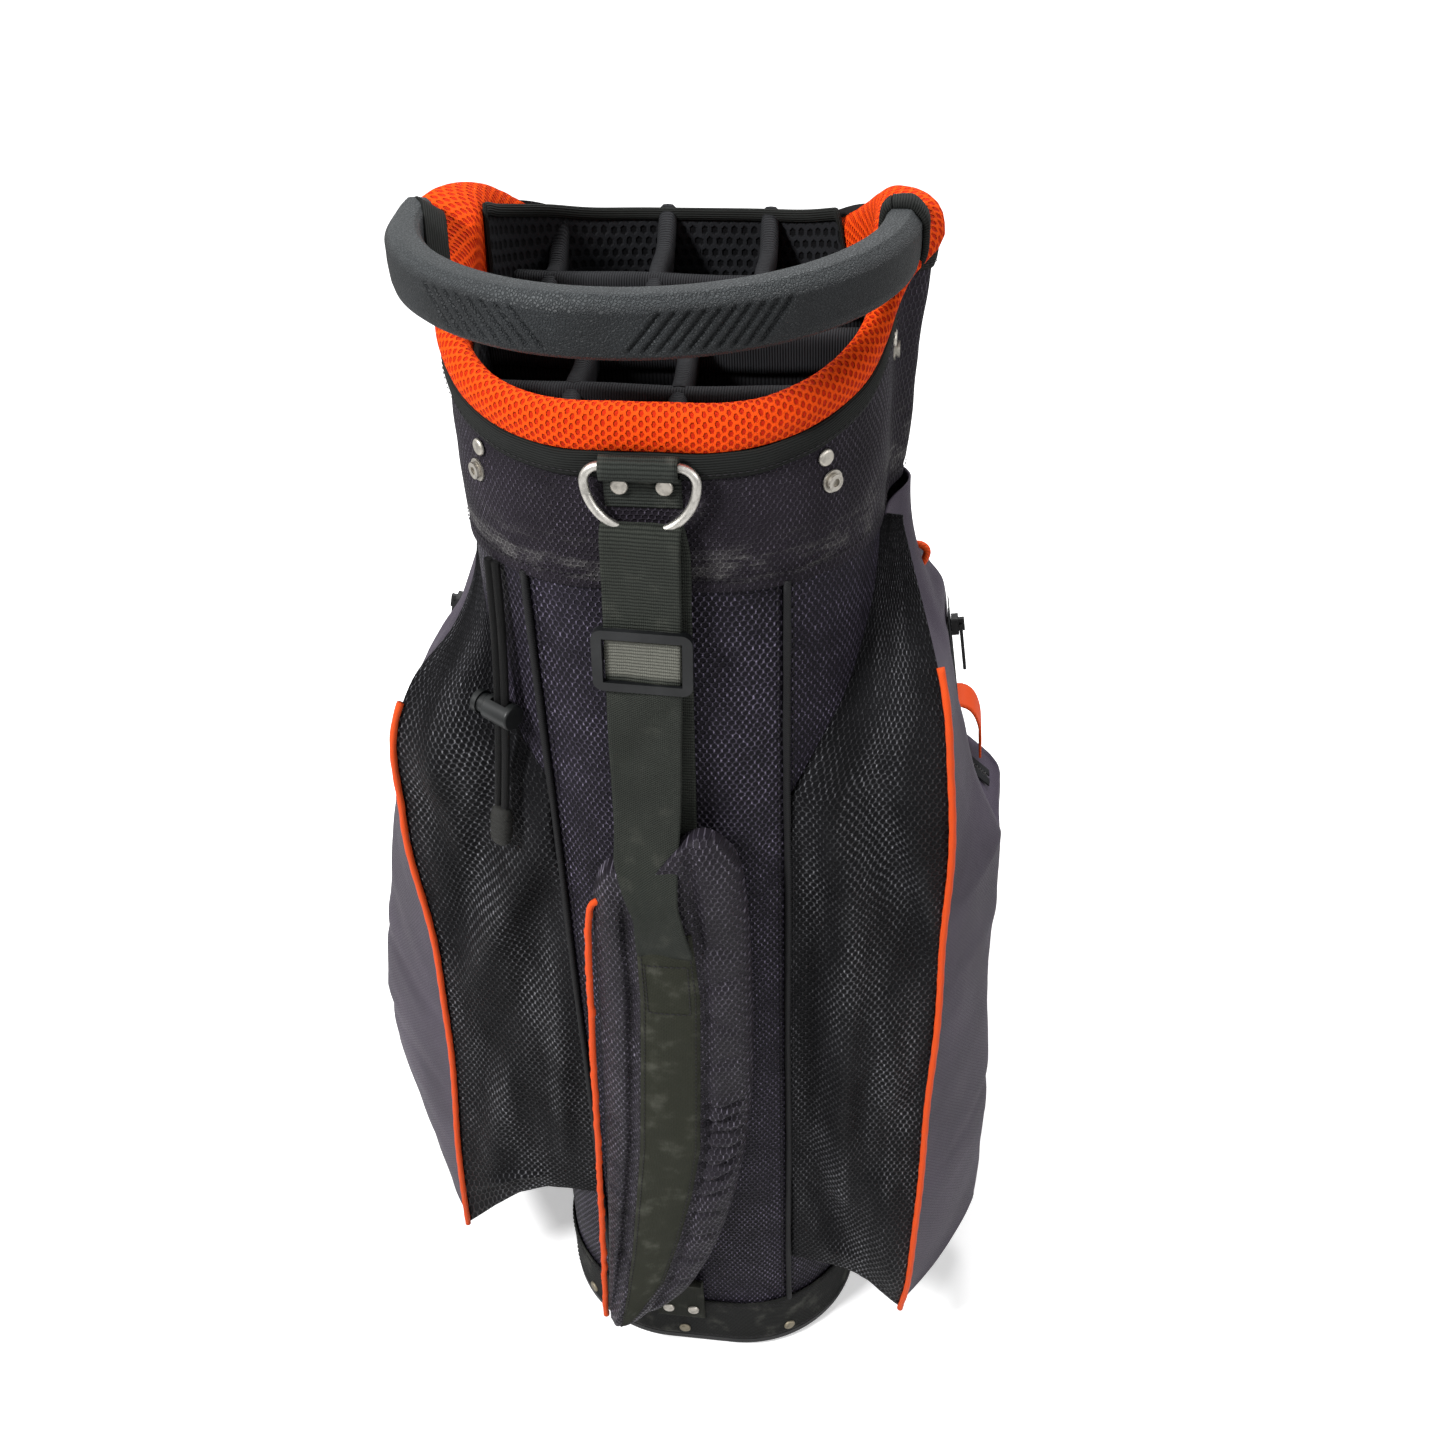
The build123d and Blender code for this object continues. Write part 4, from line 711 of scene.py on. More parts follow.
# ---------------------------------------------------------------- what repeats
def axes_tree(name, shape):
    """Sets one small shape on every point, turned by the point's own two directions."""
    tree = bpy.data.node_groups.new(name, "GeometryNodeTree")
    face = tree.interface
    face.new_socket("Geometry", in_out="INPUT", socket_type="NodeSocketGeometry")
    for label, value in (("Length", 3.0 * MM), ("Width", 0.8 * MM), ("Height", 0.6 * MM)):
        socket = face.new_socket(label, in_out="INPUT", socket_type="NodeSocketFloat")
        socket.default_value = value
    face.new_socket("Finish", in_out="INPUT", socket_type="NodeSocketMaterial")
    face.new_socket("Geometry", in_out="OUTPUT", socket_type="NodeSocketGeometry")
    add = tree.nodes.new
    start, end = add("NodeGroupInput"), add("NodeGroupOutput")
    size = add("ShaderNodeCombineXYZ")
    for i, label in enumerate(("Length", "Width", "Height")):
        tree.links.new(start.outputs[label], size.inputs[i])
    if shape == "bead":
        form = add("GeometryNodeMeshUVSphere")
        form.inputs["Segments"].default_value, form.inputs["Rings"].default_value = 8, 6
        form.inputs["Radius"].default_value = 0.5
    else:
        cube = add("GeometryNodeMeshCube")
        form = add("GeometryNodeSubdivisionSurface")
        form.inputs["Level"].default_value = 1
        form.inputs["Edge Crease"].default_value = 0.55
        tree.links.new(cube.outputs["Mesh"], form.inputs["Mesh"])
    reads = []
    for label in ("along", "out"):
        read = add("GeometryNodeInputNamedAttribute")
        read.data_type = "FLOAT_VECTOR"
        read.inputs["Name"].default_value = label
        reads.append(read)
    turn = add("FunctionNodeAxesToRotation")
    turn.primary_axis, turn.secondary_axis = "X", "Z"
    tree.links.new(reads[0].outputs["Attribute"], turn.inputs[0])
    tree.links.new(reads[1].outputs["Attribute"], turn.inputs[1])
    place = add("GeometryNodeInstanceOnPoints")
    tree.links.new(start.outputs["Geometry"], place.inputs["Points"])
    tree.links.new(form.outputs[0], place.inputs["Instance"])
    tree.links.new(turn.outputs[0], place.inputs["Rotation"])
    tree.links.new(size.outputs[0], place.inputs["Scale"])
    real, finish, shade = add("GeometryNodeRealizeInstances"), add("GeometryNodeSetMaterial"), add(
        "GeometryNodeSetShadeSmooth")
    tree.links.new(place.outputs[0], real.inputs[0])
    tree.links.new(real.outputs[0], finish.inputs["Geometry"])
    tree.links.new(start.outputs["Finish"], finish.inputs["Material"])
    tree.links.new(finish.outputs[0], shade.inputs[0])
    tree.links.new(shade.outputs[0], end.inputs[0])
    return tree


TREES = {}


def repeat(name, spots, along, out, size, finish, body, shape="bead"):
    """Small shapes, size = (length, width, height) in millimetres, at spots, each turned by along and out."""
    if shape not in TREES:
        TREES[shape] = axes_tree(shape + "_row", shape)
    tree = TREES[shape]
    data = bpy.data.meshes.new(name + "_spots")
    data.from_pydata([tuple(p) for p in np.asarray(spots) * MM], [], [])
    for label, values in (("along", along), ("out", out)):
        layer = data.attributes.new(label, "FLOAT_VECTOR", "POINT")
        layer.data.foreach_set("vector", np.asarray(values, float).ravel())
    seed = bpy.data.objects.new(name + "_spots", data)
    bpy.context.collection.objects.link(seed)
    modifier = seed.modifiers.new("row", "NODES")
    modifier.node_group = tree
    keys = {s.name: s.identifier for s in tree.interface.items_tree if s.in_out == "INPUT"}
    for label, value in zip(("Length", "Width", "Height"), size):
        modifier[keys[label]] = value * MM
    modifier[keys["Finish"]] = FINISH[finish]
    bpy.context.view_layer.update()
    evaluated = seed.evaluated_get(bpy.context.evaluated_depsgraph_get())
    made = bpy.data.meshes.new_from_object(evaluated)
    made.name = name
    seed.modifiers.clear()
    bpy.data.objects.remove(seed)
    thing = bpy.data.objects.new(name, made)
    bpy.context.collection.objects.link(thing)
    made.materials.clear()
    made.materials.append(FINISH[finish])
    made.shade_smooth()
    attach(thing, body)
    return thing


def stitches(name, path, out, finish, body, pitch=4.2, size=(3.1, 0.9, 0.7), lift=0.15):
    """A row of stitches along a path; out holds the outward direction at each of its points."""
    path, out = np.asarray(path, float), np.asarray(out, float)
    out = np.broadcast_to(out, path.shape)
    length = distances(path)
    at = np.arange(pitch / 2, length[-1], pitch)
    read = lambda values, s: np.stack([np.interp(s, length, values[:, k]) for k in range(3)], -1)
    along = read(path, at + 0.5) - read(path, at - 0.5)
    up = read(out, at)
    return repeat(name, read(path, at) + up * lift, along, up, size, finish, body)


# ---------------------------------------------------------------- base and tube
def base_pieces():
    """The webbing band round the base, with its two rows of stitches."""
    heads = np.linspace(-180, 180, 241)
    heights = np.array([10.4, 11.2, 14, 20, 28, 36, 44, 50, 55, 58, 59.4, 60.0])
    bulge = np.array([-0.8, 0.2, 0.5, 0.3, 0.1, 0.2, 0.3, 0.4, 0.1, 0.5, 0.2, -0.8])
    grid, normal = wall_grid(heads, heights, 2.0)
    lift = bulge[:, None] + 0.35 * waves(grid.shape[:2], 3, 3.0)
    lift[:, -1] = lift[:, 0]
    grid[..., 0] += normal[..., 0] * lift
    grid[..., 1] += normal[..., 1] * lift
    grid[..., 2] += 0.35 * np.sin(np.radians(heads) * 5)[None, :] * (heights[:, None] > 40)
    band = cloth_sheet("base_band_web", grid, 1.5)
    weld(band)
    settle(band, "bag", "band", "base_band", slot="webbing")
    for z, name in ((56.0, "band_stitching"), (14.5, "band_low_stitching")):
        line, side = wall_grid(heads, [z], 2.35)
        stitches(name, line[0], level_out(side[0]), "stitch", "bag", pitch=4.0)


PANELS = (("spine_cloth", "spine_panel", -34, 34, 11), ("right_cloth", "right_panel", 34, 128, 12),
          ("far_cloth", "front_panel", 128, 232, 13), ("left_cloth", "left_panel", -128, -34, 14))


def tube_panels():
    """The four cloth panels of the tube, with the piping and stitches on their seams."""
    heights = np.linspace(12, 764, 150)
    for name, node, first, last, seed in PANELS:
        heads = np.linspace(first, last, 41)
        grid, normal = wall_grid(heads, heights, 0.0)
        u = np.linspace(-1, 1, len(heads))[None, :]
        swell = 0.5 * waves(grid.shape[:2], seed, 1.5, 2.5) * (1 - u ** 4) - 0.4
        if seed == 11:
            swell += 0.5 * np.cos(u * 1.5) - 0.8 * bell(np.abs(u) - 0.86, 0.06)
        grid[..., 0] += normal[..., 0] * swell
        grid[..., 1] += normal[..., 1] * swell
        thing = cloth_sheet(name, grid, 1.6)
        settle(thing, "bag", "tube", node, slot="tube_fabric")
    for k, heading in enumerate((-34, 34, 128, -128)):
        z = np.linspace(58, 723, 90)
        spot, normal = wall(np.full(len(z), float(heading)) + 0.15 * np.sin(z / 37 + k), 1.4)
        pipe = tube_along(f"seam_pipe_{k}", np.concatenate([spot, z[:, None]], -1),
                          2.2 + 0.12 * np.sin(z / 9.0 + k))
        settle(pipe, "bag", "seam", *(["seam_piping"] if k == 0 else []), slot="binding")
        for turn in (-1, 1):
            line, out = wall(np.full(len(z), heading + turn * 2.1), 0.25)
            stitches(f"seam_stitching_{k}_{'a' if turn < 0 else 'b'}", np.concatenate([line, z[:, None]], -1),
                     level_out(out), "stitch", "bag", pitch=4.6, size=(3.2, 0.8, 0.5), lift=0.05)


CUFF_LOW, HEM = 720.4, 728.5


def cuff_pieces():
    """The cloth cuff at the top, its binding and their stitches."""
    heads = np.linspace(-180, 180, 301)
    share = np.concatenate([[0, 0.004, 0.02, 0.05], np.linspace(0.09, 0.96, 26), [0.99, 1.0]])
    spots, normal = wall(heads, 1.6)
    top = edge_height(spots) + 0.5
    z = CUFF_LOW + share[:, None] * (top - CUFF_LOW)[None, :]
    lift = 0.6 * waves(z.shape, 21, 2.5, 1.0) + 0.7 * np.sin(share * np.pi)[:, None]
    lift -= 1.0 * bell(z - HEM, 2.0) + 0.9 * (share < 0.003)[:, None]
    blend = climb(np.abs(heads) - 168, 12)[None, :]
    lift = lift * (1 - blend) + lift.mean(axis=1, keepdims=True) * blend
    lift = lift + flare(spots[None], z)
    cuff = cloth_sheet("cuff_cloth", stand_off(spots, normal, lift, z), 1.3)
    weld(cuff)
    settle(cuff, "bag", "cuff", "cuff", slot="tube_fabric")
    rim = []
    for drop, grow in ((13.0, 2.3), (12.2, 3.3), (8.0, 4.1), (4.0, 4.2), (0.6, 4.0), (-1.2, 3.0), (-1.0, 1.0),
                       (2.0, 1.4), (9.0, 1.6)):
        spot, side = wall(heads[:-1], grow)
        ripple = 0.25 * np.sin(np.radians(heads[:-1]) * 23)
        z = edge_height(spots[:-1]) - drop + ripple
        rim.append(np.concatenate([spot + side * flare(spots[:-1], z)[:, None], z[:, None]], -1))
    rim = np.stack(rim, 1)
    binding = ring_shell("cuff_binding_tape", rim)
    settle(binding, "bag", "binding", "cuff_binding", slot="binding")
    line = np.concatenate([spots + normal * (0.9 + flare(spots, HEM))[:, None], np.full((len(heads), 1), HEM)], -1)
    stitches("cuff_stitching", line, level_out(normal), "stitch", "bag", pitch=4.4, lift=-0.3)
    spot, side = wall(heads, 4.1)
    z = edge_height(spots) - 9.6
    line = np.concatenate([spot + side * flare(spots, z)[:, None], z[:, None]], -1)
    stitches("binding_stitching", line, level_out(side), "stitch", "bag", pitch=3.8, size=(2.6, 0.7, 0.5))


# ---------------------------------------------------------------- collar
LINING_LOW = 737


def lining_top(heads):
    """The height of the upper edge of the black inner wall: low at the sides, up to the rim round the far side."""
    spot, _ = wall(heads, -10)
    crest = table(*LINING, spot[:, 1])
    low = crest - 42
    left = climb(-98.5 - heads, 1.6)
    right = climb(heads - 126, 8.0)
    rise = np.maximum(left, right)
    rise = rise * rise * (3 - 2 * rise)
    return low + (crest - 2.5 - low) * rise


def collar_pieces():
    """The orange padding, the black inner wall with its tape, and the tube's lining."""
    heads = np.linspace(-180, 180, 361)[:-1]
    profile = [(1.0, 0.0, 0.0), (2.8, 0.0, 0.6), (4.2, 0.20, 0.0), (5.2, 0.42, 0.0), (5.0, 0.62, 0.0),
               (3.9, 0.80, 0.0), (1.8, 0.93, 0.0), (-1.2, 1.0, 0.6), (-4.4, 1.0, 0.9), (-7.4, 1.0, -1.6),
               (-9.6, 1.0, -5.5), (-10.6, 1.0, -11.0), (-10.6, 1.0, -20.0), (-10.0, 1.0, -32.0), (-9.4, 1.0, -46.0),
               (-9.2, 1.0, -70.0), (-8.6, 1.0, -84.0), (-5.6, 1.0, -84.0), (-5.2, 1.0, -40.0), (-4.2, 1.0, -16.0),
               (-0.6, 0.8, -8.0), (0.6, 0.3, 0.0)]
    spots, _ = wall(heads, 0.0)
    edge, crest = edge_height(spots), table(*CREST, spots[:, 1])
    bump = waves((1, 361), 31, 9.0)[0, :-1]
    rows = []
    for grow, share, drop in profile:
        puff = 1.0 + 0.10 * bump if grow > 0 else 1.0
        spot, side = wall(heads, grow * puff)
        z = edge + share * (crest - edge) + drop + (0.5 * bump if share > 0.5 else 0)
        # It swells over the handle's two ends.
        ease = climb(grow + 11, 7) * (0.35 + 0.65 * climb(share, 0.25)) * (drop > -7)
        spot = spot + side * (ease * 21.0 * bell(spots[:, 1] - 9, 25))[:, None]
        rows.append(np.concatenate([spot, z[:, None]], -1))
    loops = np.stack(rows, 1)
    smooth = [smooth_curve(np.concatenate([section, section[:1]]), 61)[:-1] for section in loops]
    pad = ring_shell("collar_mesh", np.stack(smooth))
    settle(pad, "bag", "orange", "collar_pad", "handle_lugs", "handle_screws", slot="orange_mesh")
    far = np.sort(np.concatenate([np.linspace(-180, 180, 461), np.linspace(-101, -97, 14)[1:-1]]))
    top = lining_top(far)
    share = np.concatenate([np.linspace(0, 0.9, 24), [0.95, 1.0]])
    z = LINING_LOW + share[:, None] * (top - LINING_LOW)[None, :]
    spot, normal = wall(far, -11.6)
    lift = 0.45 * waves(z.shape, 33, 5.0, 1.5)
    blend = climb(np.abs(far) - 170, 10)[None, :]
    grid = stand_off(spot, normal, lift * (1 - blend), z)
    lining = cloth_sheet("collar_lining", grid[:, ::-1], 0.9)
    weld(lining)
    settle(lining, "bag", "black_mesh", slot="divider_fabric")
    path = np.concatenate([spot - normal * 0.2, top[:, None] + 0.5], -1)
    ribbon = []
    for out, up in ((0.6, -4.5), (-1.1, -4.5), (-2.0, -2.0), (-2.0, 1.5), (-1.0, 3.0), (0.6, 2.2)):
        ribbon.append(path[:-1] + np.concatenate([normal[:-1] * out, np.full((len(far) - 1, 1), up)], -1))
    edge_tape = ring_shell("lining_tape", np.stack(ribbon, 1))
    settle(edge_tape, "bag", "binding", slot="binding")
    heights = np.linspace(10, 740, 60)
    inner, normal = wall_grid(np.linspace(-180, 180, 121), heights, -2.6)
    liner = cloth_sheet("tube_lining", inner[:, ::-1], 0.5)
    weld(liner)
    settle(liner, "bag", "lining", slot="divider_fabric")


# ---------------------------------------------------------------- dividers
RIB_OFFSET, BACK_PITCH, NEAR_PITCH, WELL_ROW = -19.0, 62.0, 57.0, 52.0
BAR_WIDTH, BAR_DEPTH = 10.4, 23.0


def bar_top(y):
    """The height of the dividers' upper edge, which climbs away from the strap."""
    return 819.0 + 0.22 * y


def chord(y, grow):
    """Half the inside width of the tube at y."""
    reach = HALF_X + grow
    flat_y, corner = HALF_Y - CORNER, CORNER + grow
    over = max(0.0, abs(y) - flat_y)
    return (HALF_X - CORNER) + math.sqrt(max(corner ** 2 - over ** 2, 0.0)) if over > 0 else reach


def padded_bar(name, start, end, seed, rise=0.0):
    """A knitted sleeve over foam: round on top, slightly waisted, with shallow dents."""
    start, end = np.array(start, float), np.array(end, float)
    length = np.linalg.norm(end - start)
    count = max(8, int(length / 3))
    along = (end - start) / length
    side = np.cross(along, (0, 0, 1))
    side /= np.linalg.norm(side)
    half = BAR_WIDTH / 2
    section = [(0, 0.6), (0.55, 0.3), (0.92, -1.6), (1.05, -4.2), (1.0, -8.0), (0.88, -13.0), (0.8, -18.0),
               (0.72, -BAR_DEPTH), (-0.72, -BAR_DEPTH), (-0.8, -18.0), (-0.88, -13.0), (-1.0, -8.0), (-1.05, -4.2),
               (-0.92, -1.6), (-0.55, 0.3)]
    rng = np.random.default_rng(seed)
    t = np.linspace(0, 1, count)
    sway = 0.7 * np.sin(t * 6.28 * rng.uniform(0.5, 1.2) + rng.uniform(0, 6)) * np.sin(np.pi * t)
    sag = -1.3 * np.sin(np.pi * t) + 0.5 * np.sin(t * 13 + rng.uniform(0, 6)) + rise * t ** 3
    loops = []
    for k in range(count):
        base = start + (end - start) * t[k] + side * sway[k] + np.array([0, 0, sag[k]])
        loops.append([base + side * half * a + np.array([0, 0, b]) for a, b in section])
    closed = closed_round(np.array(loops))
    around = distances(closed[0])
    uv = np.stack(np.meshgrid(around, t * length, indexing="xy"), -1)[..., ::-1].reshape(-1, 2)
    thing = mesh_piece(name, closed.reshape(-1, 3), quads(count, closed.shape[1]), uv)
    weld(thing, fill=True)
    return thing


def dividers():
    """The padded bars and the cloth walls that part the wells."""
    backs = [RIB_OFFSET + BACK_PITCH * i for i in (-1, 0, 1)]
    nears = [RIB_OFFSET + NEAR_PITCH * (i + 0.5) for i in (-1, 0)]
    reach = HALF_Y - 10.0
    for k, y in enumerate((-WELL_ROW, 0.0, WELL_ROW)):
        half = chord(y, -10.5)
        bar = padded_bar(f"cross_bar_{k}", (-half, y, bar_top(y)), (half, y, bar_top(y)), 50 + k)
        settle(bar, "bag", "knit", *(["divider_bars"] if k == 0 else []), slot="divider_fabric")
    rows = ((WELL_ROW, reach, backs), (0, WELL_ROW, backs), (-WELL_ROW, 0, nears), (-reach, -WELL_ROW, nears))
    number = 0
    for low, high, ribs in rows:
        for x in ribs:
            a, b = low, high
            if high == reach:
                b = min(reach, side_depth(x))
            if low == -reach:
                a = -min(reach, side_depth(x))
            bar = padded_bar(f"rib_{number}", (x, a, bar_top(a) - 1.0), (x, b, bar_top(b) - 1.0), 60 + number,
                             rise=12.0 if high == reach else 0.0)
            settle(bar, "bag", "knit", slot="divider_fabric")
            divider_sheet(f"rib_sheet_{number}", (x, a + 0.8), (x, b - 0.8), 80 + number)
            number += 1
    for k, y in enumerate((-WELL_ROW, 0.0, WELL_ROW)):
        half = chord(y, -9.6)
        divider_sheet(f"cross_sheet_{k}", (-half, y), (half, y), 90 + k, *(["divider_sheets"] if k == 0 else []))


def side_depth(x):
    """How far the inside reaches in y at x."""
    flat_x, corner = HALF_X - CORNER, CORNER - 10.0
    over = max(0.0, abs(x) - flat_x)
    return (HALF_Y - CORNER) + math.sqrt(max(corner ** 2 - over ** 2, 0.0))


def divider_sheet(name, start, end, seed, *nodes):
    """A hanging wall of thin cloth between two wells."""
    start, end = np.array(start, float), np.array(end, float)
    length = np.linalg.norm(end - start)
    side = np.array([(end - start)[1], -(end - start)[0]]) / length
    u, v = np.linspace(0, 1, max(6, int(length / 8))), np.linspace(0, 1, 60)
    low = 9.6
    spots = start[None] + (end - start)[None] * u[:, None]
    top = bar_top(spots[:, 1]) - 20.0
    z = low + (top - low)[None, :] * v[:, None]
    sway = 2.0 * waves(z.shape, seed, 1.4, 1.6) * np.sin(np.pi * u)[None, :]
    sway = sway * np.sin(np.pi * np.clip(v, 0.02, 1))[:, None]
    grid = np.stack([spots[None, :, 0] + side[0] * sway, spots[None, :, 1] + side[1] * sway, z], -1)
    thing = cloth_sheet(name, grid, 1.0)
    settle(thing, "bag", "lining", *nodes, slot="divider_fabric")


# ---------------------------------------------------------------- handle
HANDLE_MIDDLE, HANDLE_RADIUS, HANDLE_X, HANDLE_Y = 873.0, 130.0, -7.0, -6.0


def handle_pieces():
    """The rubber grip with its slanted grooves, and the tape at its ends."""
    turn = np.radians(np.linspace(-92, 92, 381))
    # One section, starting at the top inside edge: a flat top band with chamfered sides, and rounded lower corners.
    section = [(-6.2, 15.3), (-2.0, 15.6), (2.0, 15.6), (4.0, 15.3), (9.0, 9.4), (9.7, 8.4), (9.8, 4.0), (9.9, 0.0),
               (9.8, -4.0), (9.6, -8.5), (8.6, -12.4), (6.0, -14.8), (2.0, -15.4), (-2.0, -15.4), (-6.0, -14.8),
               (-8.8, -12.4), (-9.6, -8.5), (-9.6, 0.0), (-9.4, 8.0), (-8.6, 12.8)]
    dense = []
    for a, b in zip(section, section[1:] + section[:1]):
        steps = max(2, int(math.hypot(b[0] - a[0], b[1] - a[1]) / 0.9))
        for t in range(steps):
            dense.append((a[0] + (b[0] - a[0]) * t / steps, a[1] + (b[1] - a[1]) * t / steps))
    dense = np.array(dense)
    around = dense.shape[0]
    s = turn * HANDLE_RADIUS
    out, up = dense[:, 0][None, :], dense[:, 1][None, :]
    out = np.broadcast_to(out, (len(s), around)).copy()
    up = np.broadcast_to(up, (len(s), around)).copy()
    arc = s[:, None]
    front = climb(out - 8.8, 0.8) * climb(9.2 - up, 1.5) * climb(up + 13.0, 2.0)
    cut = np.zeros_like(out)
    for lines, tilt, first, pitch in ((8, -0.8, -88.0, 7.4), (10, 0.8, 17.0, 6.5)):
        for k in range(lines):
            middle = first + k * pitch
            gap = (arc - middle - tilt * up) * math.cos(math.atan(tilt))
            cut += bell(gap, 0.8)
    worn = 0.10 * waves(out.shape, 41, 6.0)
    out -= front * np.clip(cut, 0, 1) * 2.3
    out += worn
    up += worn * 0.6
    radius = HANDLE_RADIUS + out
    grid = np.stack([HANDLE_X + np.sin(turn)[:, None] * radius, HANDLE_Y - np.cos(turn)[:, None] * radius,
                     HANDLE_MIDDLE + up], -1)
    length = distances(np.concatenate([dense, dense[:1]]))
    uv = np.stack(np.meshgrid(length, s, indexing="xy"), -1)[..., ::-1].reshape(-1, 2)
    grip = mesh_piece("handle_rubber", closed_round(grid).reshape(-1, 3), quads(len(s), around + 1), uv)
    weld(grip, fill=True)
    settle(grip, "bag", "grip", "handle_grip", slot="rubber")
    # Ribbed tape round the right end, and the strip of tape that runs down inside the collar on the left.
    outer = [(-6.2, 17.0), (0.0, 17.4), (5.0, 16.6), (10.8, 10.0), (11.6, 0.0), (11.0, -10.0), (7.0, -16.4),
             (0.0, -17.2), (-7.0, -16.4), (-10.8, -9.0), (-11.2, 2.0), (-10.0, 13.0)]
    section = smooth_curve([(a, b, 0) for a, b in outer + outer[:1]], 61)[:-1]
    first, last = 87.5, 93.5
    loops = []
    for grow, at in ((-1.6, first), (0.0, first + 0.15), (0.5, first + 2.0), (0.3, (first + last) / 2),
                     (0.5, last - 2.0), (0.0, last - 0.15), (-1.6, last)):
        angle, size = math.radians(at), 1 + grow / 12.0
        radius = HANDLE_RADIUS + section[:, 0] * size
        loops.append(np.stack([HANDLE_X + math.sin(angle) * radius, HANDLE_Y - math.cos(angle) * radius,
                               HANDLE_MIDDLE + section[:, 1] * size], -1))
    sleeve = cloth_sheet("handle_sleeve", closed_round(np.array(loops))[::-1], 1.6)
    weld(sleeve)
    settle(sleeve, "bag", "binding", slot="binding")
    tail = smooth_curve([(-137, 6, 880.0), (-131, 0, 885), (-125, -9, 885.5), (-121.0, -21, 880), (-117.5, -33, 870),
                         (-113.5, -44, 857), (-110.5, -50, 842)], 40)
    across = np.linspace(-7, 7, 9)
    grid = tail[:, None, :] + np.array([0.745, 0.298, -0.596])[None, None, :] * across[None, :, None]
    strip = cloth_sheet("handle_tape", grid[:, ::-1], 1.6)
    settle(strip, "bag", "binding", slot="binding")


# ---------------------------------------------------------------- strap
RING_Z, LEAN = 796.0, math.radians(2.0)


def lean(points):
    """Leans strap points about the D ring's middle."""
    p = np.array(points, float)
    x, z = p[..., 0].copy(), p[..., 2] - RING_Z
    p[..., 0] = x * math.cos(LEAN) + z * math.sin(LEAN)
    p[..., 2] = RING_Z - x * math.sin(LEAN) + z * math.cos(LEAN)
    return p


def strap_pieces():
    """The strap's long band, and the tab that holds the ring."""
    # One long band: up the back, over the ring's bow, and down the front into the pad.
    route = [(-120.6, 545), (-120.4, 600), (-120.6, 660), (-120.9, 720), (-121.0, 742), (-121.4, 757), (-124.6, 763.2),
             (-128.2, 757), (-128.3, 742), (-128.2, 720), (-128.6, 690), (-128.8, 660), (-129.0, 620), (-131.0, 585),
             (-136.0, 566), (-145.0, 549), (-151.0, 531), (-152.6, 508), (-151.4, 494), (-148.4, 480)]
    line = smooth_curve([(0, y, z) for y, z in route], 196)
    s = distances(line)
    across = np.linspace(-21, 21, 23)
    shift = np.interp(s, [0, 200, 222, s[-1]], [6.0, 4.0, 0.0, 0.0])
    grid = np.empty((len(line), len(across), 3))
    tangent = np.gradient(line, axis=0)
    tangent /= np.linalg.norm(tangent, axis=1, keepdims=True)
    normal = np.stack([0 * s, tangent[:, 2], -tangent[:, 1]], -1)
    lift = 0.5 * waves(grid.shape[:2], 71, 2.0, 3.0) + 0.35 * (across / 21)[None, :] ** 4
    front = (s > 222)[:, None] * climb(s - 262, 60)[:, None]
    lift = lift + front * (1.2 * bell(across[None, :] * 0.6 + (s[:, None] - 330) * 0.45, 9)
                           - 0.9 * bell(across[None, :] * 0.6 + (s[:, None] - 352) * 0.45, 6))
    grid[...] = line[:, None, :]
    # The lower end of the front band narrows, its left edge most, and lies over the pad's own webbing.
    depth = np.where(s > 222, line[:, 2], 800.0)
    left = np.interp(depth, [484, 512, 550, 610], [6, 6.4, 18.5, 21])
    right = np.interp(depth, [484, 525, 551, 660], [28.5, 20.5, 19.5, 21])
    share = (across / 42 + 0.5)[None, :]
    grid[..., 0] += (shift - left)[:, None] + (left + right)[:, None] * share
    grid += normal[:, None, :] * lift[..., None]
    grid = lean(grid)
    flat = np.stack(np.meshgrid(across, s, indexing="xy"), -1)
    band = cloth_sheet("strap_band", grid, 1.6, flat)
    weld(band)
    settle(band, None, "web_top", "strap_loop", "strap_front_web", "strap_back_web", slot="webbing")
    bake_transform(band)
    # The tab that holds the ring's straight bar.
    tab = [(-119.0, 770.5), (-119.6, 780), (-119.8, 788), (-121.4, 796), (-123.6, 800.2), (-127.0, 799.4),
           (-129.0, 796), (-128.0, 791.4), (-124.6, 789.6), (-121.6, 790.2)]
    band = ribbon("ring_tab", [(0, y, z) for y, z in tab], 46, 0, np.linspace(-20, 20, 15), 1.5)
    settle(band, "bag", "tab_web", "d_ring_tab", slot="webbing")


PAD_BACK = -129.2
WEB_TOP, WEB_LOW = 498.0, 70.0
# The pad's two outlines and its webbing's two edges, as x at each height.
PAD_LEFT = [(-69, 50, 0), (-67.5, 85, 0), (-64, 140, 0), (-60, 205, 0), (-56, 280, 0), (-52, 360, 0), (-49.5, 430, 0),
            (-48, 480, 0), (-45.5, 513, 0), (-39, 533, 0), (-30, 542, 0), (-20, 540, 0)]
PAD_RIGHT = [(-69, 50, 0), (-56, 54, 0), (-36, 69, 0), (-16, 90, 0), (0, 113, 0), (14, 146, 0), (25, 181, 0),
             (36, 230, 0), (45, 290, 0), (49.5, 345, 0), (51, 400, 0), (51, 450, 0), (50, 500, 0), (46, 543, 0),
             (38, 560, 0), (26, 568, 0), (14, 563, 0), (4, 552, 0)]
WEB_LEFT = ((60, 103, 170, 290, 440, 503, 540), (-60, -51, -41, -27, -17.5, -17, -14))
WEB_RIGHT = ((60, 90, 122, 180, 237, 295, 444, 505, 540), (-46, -33, -19, -5, 6.5, 15, 20.6, 17, 14))


